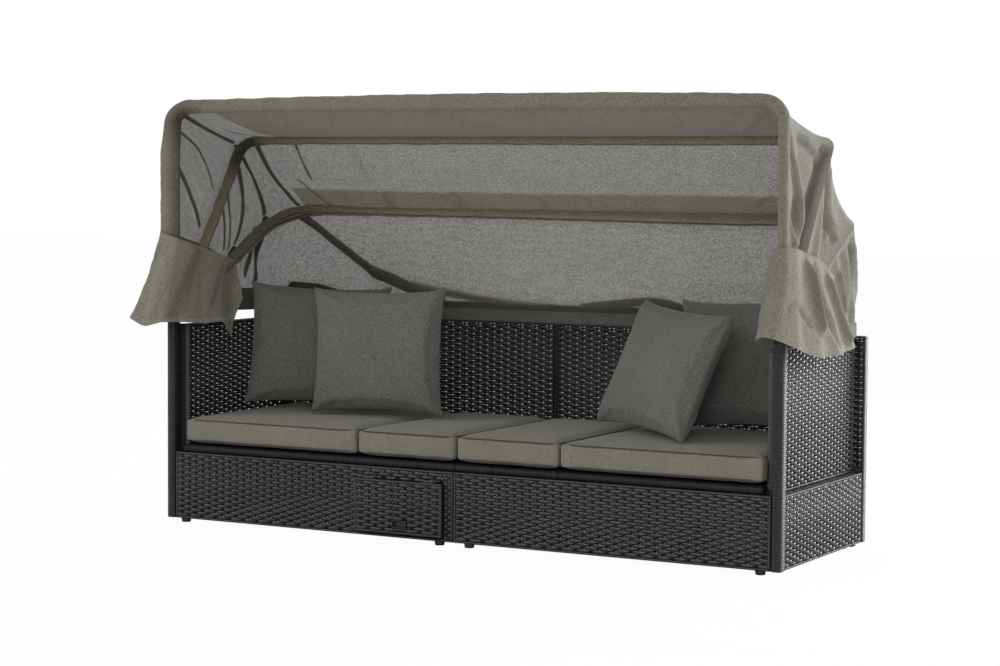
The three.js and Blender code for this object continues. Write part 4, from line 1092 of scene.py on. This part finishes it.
# Folds of the skirts: places (metres along from the free inner edge, share down), width, height
# and tone of painted shade; the first left one is the painted shadow of the middle bow's leg behind
# the cloth
SKIRT_FOLDS = {
    "left": [
        ([(0.28, 0.02), (0.33, 0.37), (0.36, 0.67), (0.38, 1.0)], 0.019, 0.007, 0.42),
        ([(0.14, 0.1), (0.2, 0.55), (0.22, 0.76)], 0.008, -0.008, 0.5),
        ([(0.08, 0.0), (0.12, 0.5), (0.1, 0.95)], 0.03, 0.010, 0.35),
        ([(0.26, 0.3), (0.27, 0.95)], 0.018, 0.010, 0.0),
        ([(0.44, 0.2), (0.46, 0.95)], 0.020, -0.012, 0.0),
        ([(0.5, 0.1), (0.56, 0.5)], 0.012, -0.006, 0.2),
        ([(0.62, 0.1), (0.64, 0.95)], 0.020, 0.010, 0.0),
        ([(0.8, 0.1), (0.84, 0.95)], 0.020, -0.012, 0.1),
        ([(0.92, 0.1), (0.98, 0.95)], 0.020, 0.010, 0.0),
    ],
    "right": [
        ([(0.36, 0.1), (0.34, 0.9)], 0.018, -0.010, 0.2),
        ([(0.59, 0.0), (0.62, 0.35), (0.66, 0.8)], 0.018, -0.024, 0.45),
        ([(0.44, 0.66), (0.48, 0.58), (0.54, 0.62), (0.6, 0.74)], 0.010, 0.010, 0.2),
        ([(0.66, 0.0), (0.7, 0.5), (0.76, 0.95)], 0.016, 0.02, 0.1),
        ([(0.8, 0.05), (0.86, 0.95)], 0.018, -0.02, 0.4),
        ([(0.9, 0.05), (0.98, 0.95)], 0.018, 0.012, 0.0),
    ],
}


def make_skirts():
    for hand, side in HANDS.items():
        places = np.array(SKIRTS[hand])
        at = lengths(places.mean(1))
        along = np.linspace(0, at[-1], SKIRT_COLUMNS)
        seam = rounded(between(along, at, places[:, 0]), 16)
        hem = rounded(between(along, at, places[:, 1]), 8)
        share = np.linspace(0, 1, SKIRT_STEPS)[:, None]
        w = share[..., None]
        flare = w ** 1.25
        points = np.concatenate([(1 - flare) * seam[:, :2] + flare * hem[:, :2],
                                 (1 - w) * seam[:, 2:] + w * hem[:, 2:]], -1)
        run = np.gradient((seam + hem) / 2, axis=0)
        facing = unit(np.stack([-run[:, 1], run[:, 0], np.zeros(len(run))], 1) * side)
        out = np.broadcast_to(facing, points.shape)
        shift, doubled_and_shade = folded(points, out, along, SKIRT_FOLDS[hand])
        pleats = np.sin(along * 38 + 1.2 * np.sin(along * 9) + side)
        shift += PLEAT_DEPTH * share * pleats + uneven(points, "skirt", (12 + side, 15 + side))
        points = points + (shift * smooth(share / 0.2))[..., None] * facing
        # A thin darker line along the top edge
        edge = 0.35 * np.exp(-((share / 0.012) ** 2)) * np.ones(SKIRT_COLUMNS)
        piece = cloth_piece(f"canopy_skirt_{hand}", points, CUFF, "bow_middle", [f"skirt_{hand}"],
                            np.maximum(doubled_and_shade, edge))
        pressed_flat(piece)


make_roof()
make_sleeves()
make_curtain()
make_skirts()

# Seat cushions and pillows

SEAT_EDGE = 0.084  # height of the sides of a seat cushion
SEAT_SWELL = 0.01  # room left for the simulation to swell it
SEAT_CAP = 0.008  # how far a point may move in it
SEAT_VOXEL = 0.0075
SEAT_PRESSURE = 3.0
SEAT_CROWN = 0.5
SEAT_CORNER = 6
SEAT_STEPS = 28
CORD = 0.0021  # radius of the welt
CORD_STEPS = 150
CORD_SIDES = 6
CORD_SEARCH = 0.008  # height in which the points for it are looked for
CORD_INSET = 0.006  # from the edges of the sides
CORD_CHOICE = 6  # points nearest in angle, of which it takes the outermost
PILLOW_SIZE = (0.51, 0.446, 0.132)
PILLOW_CAP = 0.016
PILLOW_VOXEL = 0.006
PILLOW_PRESSURE = 4.0
PILLOW_CROWN = 0.42
PILLOW_STEPS = 36
PULL_SIDES = 0.055  # how far the sides are pulled in between the corners
PULL_ENDS = 0.06
KNIFE_EDGE = 0.005
SWELL_ROOM = 0.014
CREASES = 15  # round each corner of a pillow
CREASE = 0.003
CREASE_REACH = 0.11
CREASE_START = 0.04
DENT = 0.003
SEAM_CALM = 0.02  # height over the seam in which creases and dents grow
SIMULATED_FRAMES = 20
CLOTH_STIFFNESS = 12
CLOTH_BENDING = 0.8


def closed_pad(steps, place):
    """Two layers joined at their border: place gives a layer's point at (u, v), each -1 to 1."""
    shares = [2 * i / steps - 1 for i in range(steps + 1)]
    points = [place(u, v, layer) for layer in (1, -1) for v in shares for u in shares]
    count = steps + 1
    top = sheet_faces(count, count)
    bottom = [[i + count ** 2 for i in face[::-1]] for face in top]
    border = list(range(count))
    border += [(j + 1) * count - 1 for j in range(1, count)]
    border += [steps * count + i for i in range(steps - 1, -1, -1)]
    border += [j * count for j in range(steps - 1, 0, -1)]
    after = border[1:] + border[:1]
    sides = [[a, b, b + count ** 2, a + count ** 2] for a, b in zip(border, after)]
    return points, top + bottom + sides


def seat_form(size, edge):
    """Box cushion with a crown, its upright edge this high."""
    width, depth, height = size

    def place(u, v, layer):
        u, v = math.sin(u * math.pi / 2), math.sin(v * math.pi / 2)
        rise = (1 - abs(u) ** SEAT_CORNER) * (1 - abs(v) ** SEAT_CORNER)
        lift = edge / 2 + (height - edge) / 2 * max(0.0, rise) ** SEAT_CROWN
        return u * width / 2, v * depth / 2, layer * lift

    return closed_pad(SEAT_STEPS, place)


def pillow_form():
    """Knife-edged pillow: plump in the middle, sides pulled in between pointed corners."""
    width, height, thickness = PILLOW_SIZE

    def place(u, v, layer):
        across = u * (1 - PULL_SIDES * (1 - v * v)) * width / 2
        up = v * (1 - PULL_ENDS * (1 - u * u)) * height / 2
        plump = ((1 - u ** 2) * (1 - v ** 2)) ** PILLOW_CROWN
        return across, up, layer * (KNIFE_EDGE + (thickness / 2 - SWELL_ROOM) * plump)

    return closed_pad(PILLOW_STEPS, place)


def padded_mesh(name, points, faces, voxel, pressure, cap):
    """Swell a closed form by a cloth simulation, each point moving no further than cap."""
    piece = new_object(name, points, faces)
    outwards(piece)
    modifier = piece.modifiers.new("remesh", "REMESH")
    modifier.mode = "VOXEL"
    modifier.voxel_size = voxel
    modifier.use_smooth_shade = True
    apply_modifiers(piece)
    before = positions(piece)
    cloth = piece.modifiers.new("cloth", "CLOTH")
    cloth.settings.quality = 4
    cloth.settings.effector_weights.gravity = 0
    cloth.settings.use_pressure = True
    cloth.settings.uniform_pressure_force = pressure
    cloth.settings.tension_stiffness = CLOTH_STIFFNESS
    cloth.settings.compression_stiffness = CLOTH_STIFFNESS
    cloth.settings.bending_stiffness = CLOTH_BENDING
    cloth.point_cache.frame_start = 1
    cloth.point_cache.frame_end = SIMULATED_FRAMES
    for number in range(1, SIMULATED_FRAMES + 1):
        bpy.context.scene.frame_set(number)
    apply_modifiers(piece)
    after = positions(piece)
    moved = after - before
    length = np.linalg.norm(moved, axis=1, keepdims=True)
    scale = np.minimum(1, cap / np.maximum(length, 1e-9))
    set_positions(piece, before + moved * scale)
    bpy.context.scene.frame_set(1)
    piece.data.shade_smooth()
    return piece


def apply_modifiers(piece):
    depsgraph = bpy.context.evaluated_depsgraph_get()
    shaped = bpy.data.meshes.new_from_object(piece.evaluated_get(depsgraph))
    piece.modifiers.clear()
    piece.data = shaped


def positions(piece):
    found = np.zeros(len(piece.data.vertices) * 3)
    piece.data.vertices.foreach_get("co", found)
    return found.reshape(-1, 3)


def set_positions(piece, points):
    piece.data.vertices.foreach_set("co", points.ravel())
    piece.data.update()


def dress(piece, *materials):
    piece.data.materials.clear()
    for material in materials:
        piece.data.materials.append(material)


def add_cord(piece, height):
    """Thin welt sewn round a pad at a height, along its outermost points there."""
    points = positions(piece)
    half = np.abs(points).max(0)
    near = points[np.abs(points[:, 2] - height) < CORD_SEARCH]
    turn = np.arctan2(near[:, 1] / half[1], near[:, 0] / half[0])
    reach = np.abs(near[:, :2] / half[:2]).max(1)
    loop = np.zeros((CORD_STEPS, 3))
    for step in range(CORD_STEPS):
        away = np.abs(np.angle(np.exp(1j * (turn - 2 * math.pi * step / CORD_STEPS))))
        found = np.argsort(away)[:CORD_CHOICE]
        loop[step] = near[found[reach[found].argmax()]]
    loop[:, 2] = height
    for _ in range(3):
        loop = (np.roll(loop, 1, 0) + 2 * loop + np.roll(loop, -1, 0)) / 4
    run = unit(np.roll(loop, -1, 0) - np.roll(loop, 1, 0))
    outward = np.cross(run, (0, 0, 1.0))
    around = np.linspace(0, 2 * math.pi, CORD_SIDES, endpoint=False)[:, None, None]
    ring = np.cos(around) * outward + np.sin(around) * np.array((0, 0, 1.0))
    ring = loop + CORD * ring
    mesh = bmesh.new()
    mesh.from_mesh(piece.data)
    made = [[mesh.verts.new(point) for point in row] for row in ring]
    for i in range(CORD_SIDES):
        for j in range(CORD_STEPS):
            near_row, far_row = made[i], made[(i + 1) % CORD_SIDES]
            after = (j + 1) % CORD_STEPS
            face = mesh.faces.new([near_row[j], near_row[after], far_row[after], far_row[j]])
            face.material_index = 1
            face.smooth = True
    mesh.to_mesh(piece.data)
    mesh.free()


def finished_pad(piece, node):
    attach(piece, "root")
    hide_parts(node)


def make_seat_cushions():
    for size in ("wide", "narrow"):
        for hand in HANDS:
            node = f"seat_cushion_{size}_{hand}"
            low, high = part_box(node)
            span = high - low
            inner = span - Vector((2, 2, 1)) * SEAT_SWELL
            points, faces = seat_form(inner, SEAT_EDGE - SEAT_SWELL)
            piece = padded_mesh(f"padded_{node}", points, faces, SEAT_VOXEL, SEAT_PRESSURE, SEAT_CAP)
            shaped = positions(piece)
            shaped *= (np.array(span) / 2 - CORD) / np.abs(shaped).max(0)
            shaped[:, 2] = np.maximum(shaped[:, 2], -span.z / 2 + CORD)
            set_positions(piece, shaped)
            dress(piece, SEAT, WELT)
            add_cord(piece, SEAT_EDGE / 2 - CORD_INSET)
            add_cord(piece, CORD_INSET - SEAT_EDGE / 2)
            set_positions(piece, positions(piece) + np.array((low + high) / 2))
            finished_pad(piece, node)


def pillow_axes(node):
    """Middle of a pillow's CAD solid, and its width, height and thickness directions."""
    solid = frame["nodes"][node]
    points = np.array([solid.matrix_world @ v.co for v in solid.data.vertices])
    middle = points.mean(0)
    vectors = np.linalg.eigh(np.cov((points - middle).T))[1]
    thick, tall, wide = vectors[:, 0], vectors[:, 1], vectors[:, 2]
    thick = thick * (-1 if thick[1] > 0 else 1)
    tall = tall * (1 if tall[2] > 0 else -1)
    wide = np.cross(tall, -thick)
    return middle, wide, tall, thick


def make_pillows():
    for hand, side in HANDS.items():
        for place in ("back", "front"):
            node = f"pillow_{hand}_{place}"
            middle, wide, tall, thick = pillow_axes(node)
            points, faces = pillow_form()
            piece = padded_mesh(f"padded_{node}", points, faces, PILLOW_VOXEL, PILLOW_PRESSURE,
                                PILLOW_CAP)
            shaped = gathered(positions(piece), len(node) + side)
            shaped *= np.array(PILLOW_SIZE) / 2 / np.abs(shaped).max(0)
            placed = middle + shaped @ np.array([wide, tall, thick])
            set_positions(piece, placed)
            dress(piece, PILLOW)
            finished_pad(piece, node)


def gathered(points, seed):
    """Creases of a pillow that run in from its corners, and a few soft dents."""
    half = np.abs(points).max(0)
    shift = np.zeros(len(points))
    for x, y in ((-1, -1), (1, -1), (1, 1), (-1, 1)):
        way = half[:2] * (x, y) - points[:, :2]
        gap = np.linalg.norm(way, axis=1)
        turn = np.arctan2(way[:, 1], way[:, 0])
        crease = np.cos(CREASES * turn + seed + x + 2 * y)
        shift += CREASE * crease * np.exp(-((gap / CREASE_REACH) ** 2)) * smooth(gap / CREASE_START)
    shift += DENT * waves(points, seed, 9, (1, 1, 0.2))
    points = points.copy()
    points[:, 2] += np.sign(points[:, 2]) * shift * smooth(np.abs(points[:, 2]) / SEAM_CALM)
    return points


make_seat_cushions()
make_pillows()

# Stage

FLOOR_REACH = 30
FLOOR_GLOW = 0.96  # how much of the floor the camera sees as plain white
WORLD_LIGHT = 0.64
# Lamps: place, what it points at, size and power
LAMPS = {
    "right": ((4.6, 1.0, 2.0), (1.2, 0, 0.6), 1.6, 70),
    "back_right": ((3.3, 5.2, 1.3), (1.15, 0, 0.4), 3.0, 260),
    "left": ((-4.2, -3.2, 2.8), (-0.8, 0, 0.6), 2.0, 60),
    "back": ((-0.5, 5.0, 2.6), (0.0, 0, 0.8), 3.0, 60),
    "front": ((2.6, -5.5, 1.5), (0.2, 0, 0.6), 2.0, 50),
}


def make_stage():
    corners = [(-1, -1, 0), (1, -1, 0), (1, 1, 0), (-1, 1, 0)]
    floor = new_object("floor", FLOOR_REACH * np.array(corners), [(0, 1, 2, 3)])
    material, tree, shader = new_material("floor")
    shader.inputs["Base Color"].default_value = (0.8, 0.8, 0.8, 1)
    shader.inputs["Roughness"].default_value = 0.9
    glow = tree.nodes.new("ShaderNodeEmission")
    blend = tree.nodes.new("ShaderNodeMixShader")
    rays = tree.nodes.new("ShaderNodeLightPath")
    share = tree.nodes.new("ShaderNodeMath")
    share.operation = "MULTIPLY"
    share.inputs[1].default_value = FLOOR_GLOW
    tree.links.new(rays.outputs["Is Camera Ray"], share.inputs[0])
    tree.links.new(share.outputs[0], blend.inputs["Fac"])
    tree.links.new(shader.outputs["BSDF"], blend.inputs[1])
    tree.links.new(glow.outputs["Emission"], blend.inputs[2])
    tree.links.new(blend.outputs["Shader"], tree.nodes["Material Output"].inputs["Surface"])
    floor.data.materials.append(material)


def make_world(strength):
    """Even light, and plain white to rays from the camera, through cloth or off a gloss."""
    world = bpy.data.worlds.new("studio")
    bpy.context.scene.world = world
    world.use_nodes = True
    tree = world.node_tree
    rays = tree.nodes.new("ShaderNodeLightPath")
    seen = rays.outputs["Is Camera Ray"]
    for kind in ("Is Transmission Ray", "Is Glossy Ray"):
        either = tree.nodes.new("ShaderNodeMath")
        either.operation = "MAXIMUM"
        tree.links.new(seen, either.inputs[0])
        tree.links.new(rays.outputs[kind], either.inputs[1])
        seen = either.outputs[0]
    plain = tree.nodes["Background"]
    plain.inputs["Color"].default_value = (1, 1, 1, 1)
    plain.inputs["Strength"].default_value = strength
    white = tree.nodes.new("ShaderNodeBackground")
    white.inputs["Color"].default_value = (1, 1, 1, 1)
    white.inputs["Strength"].default_value = 1
    blend = tree.nodes.new("ShaderNodeMixShader")
    tree.links.new(seen, blend.inputs["Fac"])
    tree.links.new(plain.outputs[0], blend.inputs[1])
    tree.links.new(white.outputs[0], blend.inputs[2])
    tree.links.new(blend.outputs[0], tree.nodes["World Output"].inputs["Surface"])


def make_lamp(name, place, target, size, power):
    data = bpy.data.lights.new(name, "AREA")
    data.size = size
    data.energy = power
    lamp = bpy.data.objects.new(name, data)
    bpy.context.collection.objects.link(lamp)
    place, target = Vector(place), Vector(target)
    lamp.rotation_euler = (target - place).to_track_quat("-Z", "Y").to_euler()
    lamp.location = place


make_stage()
make_world(WORLD_LIGHT)
for lamp_name, lamp_values in LAMPS.items():
    make_lamp(lamp_name, *lamp_values)
bpy.context.scene.view_settings.view_transform = "Standard"
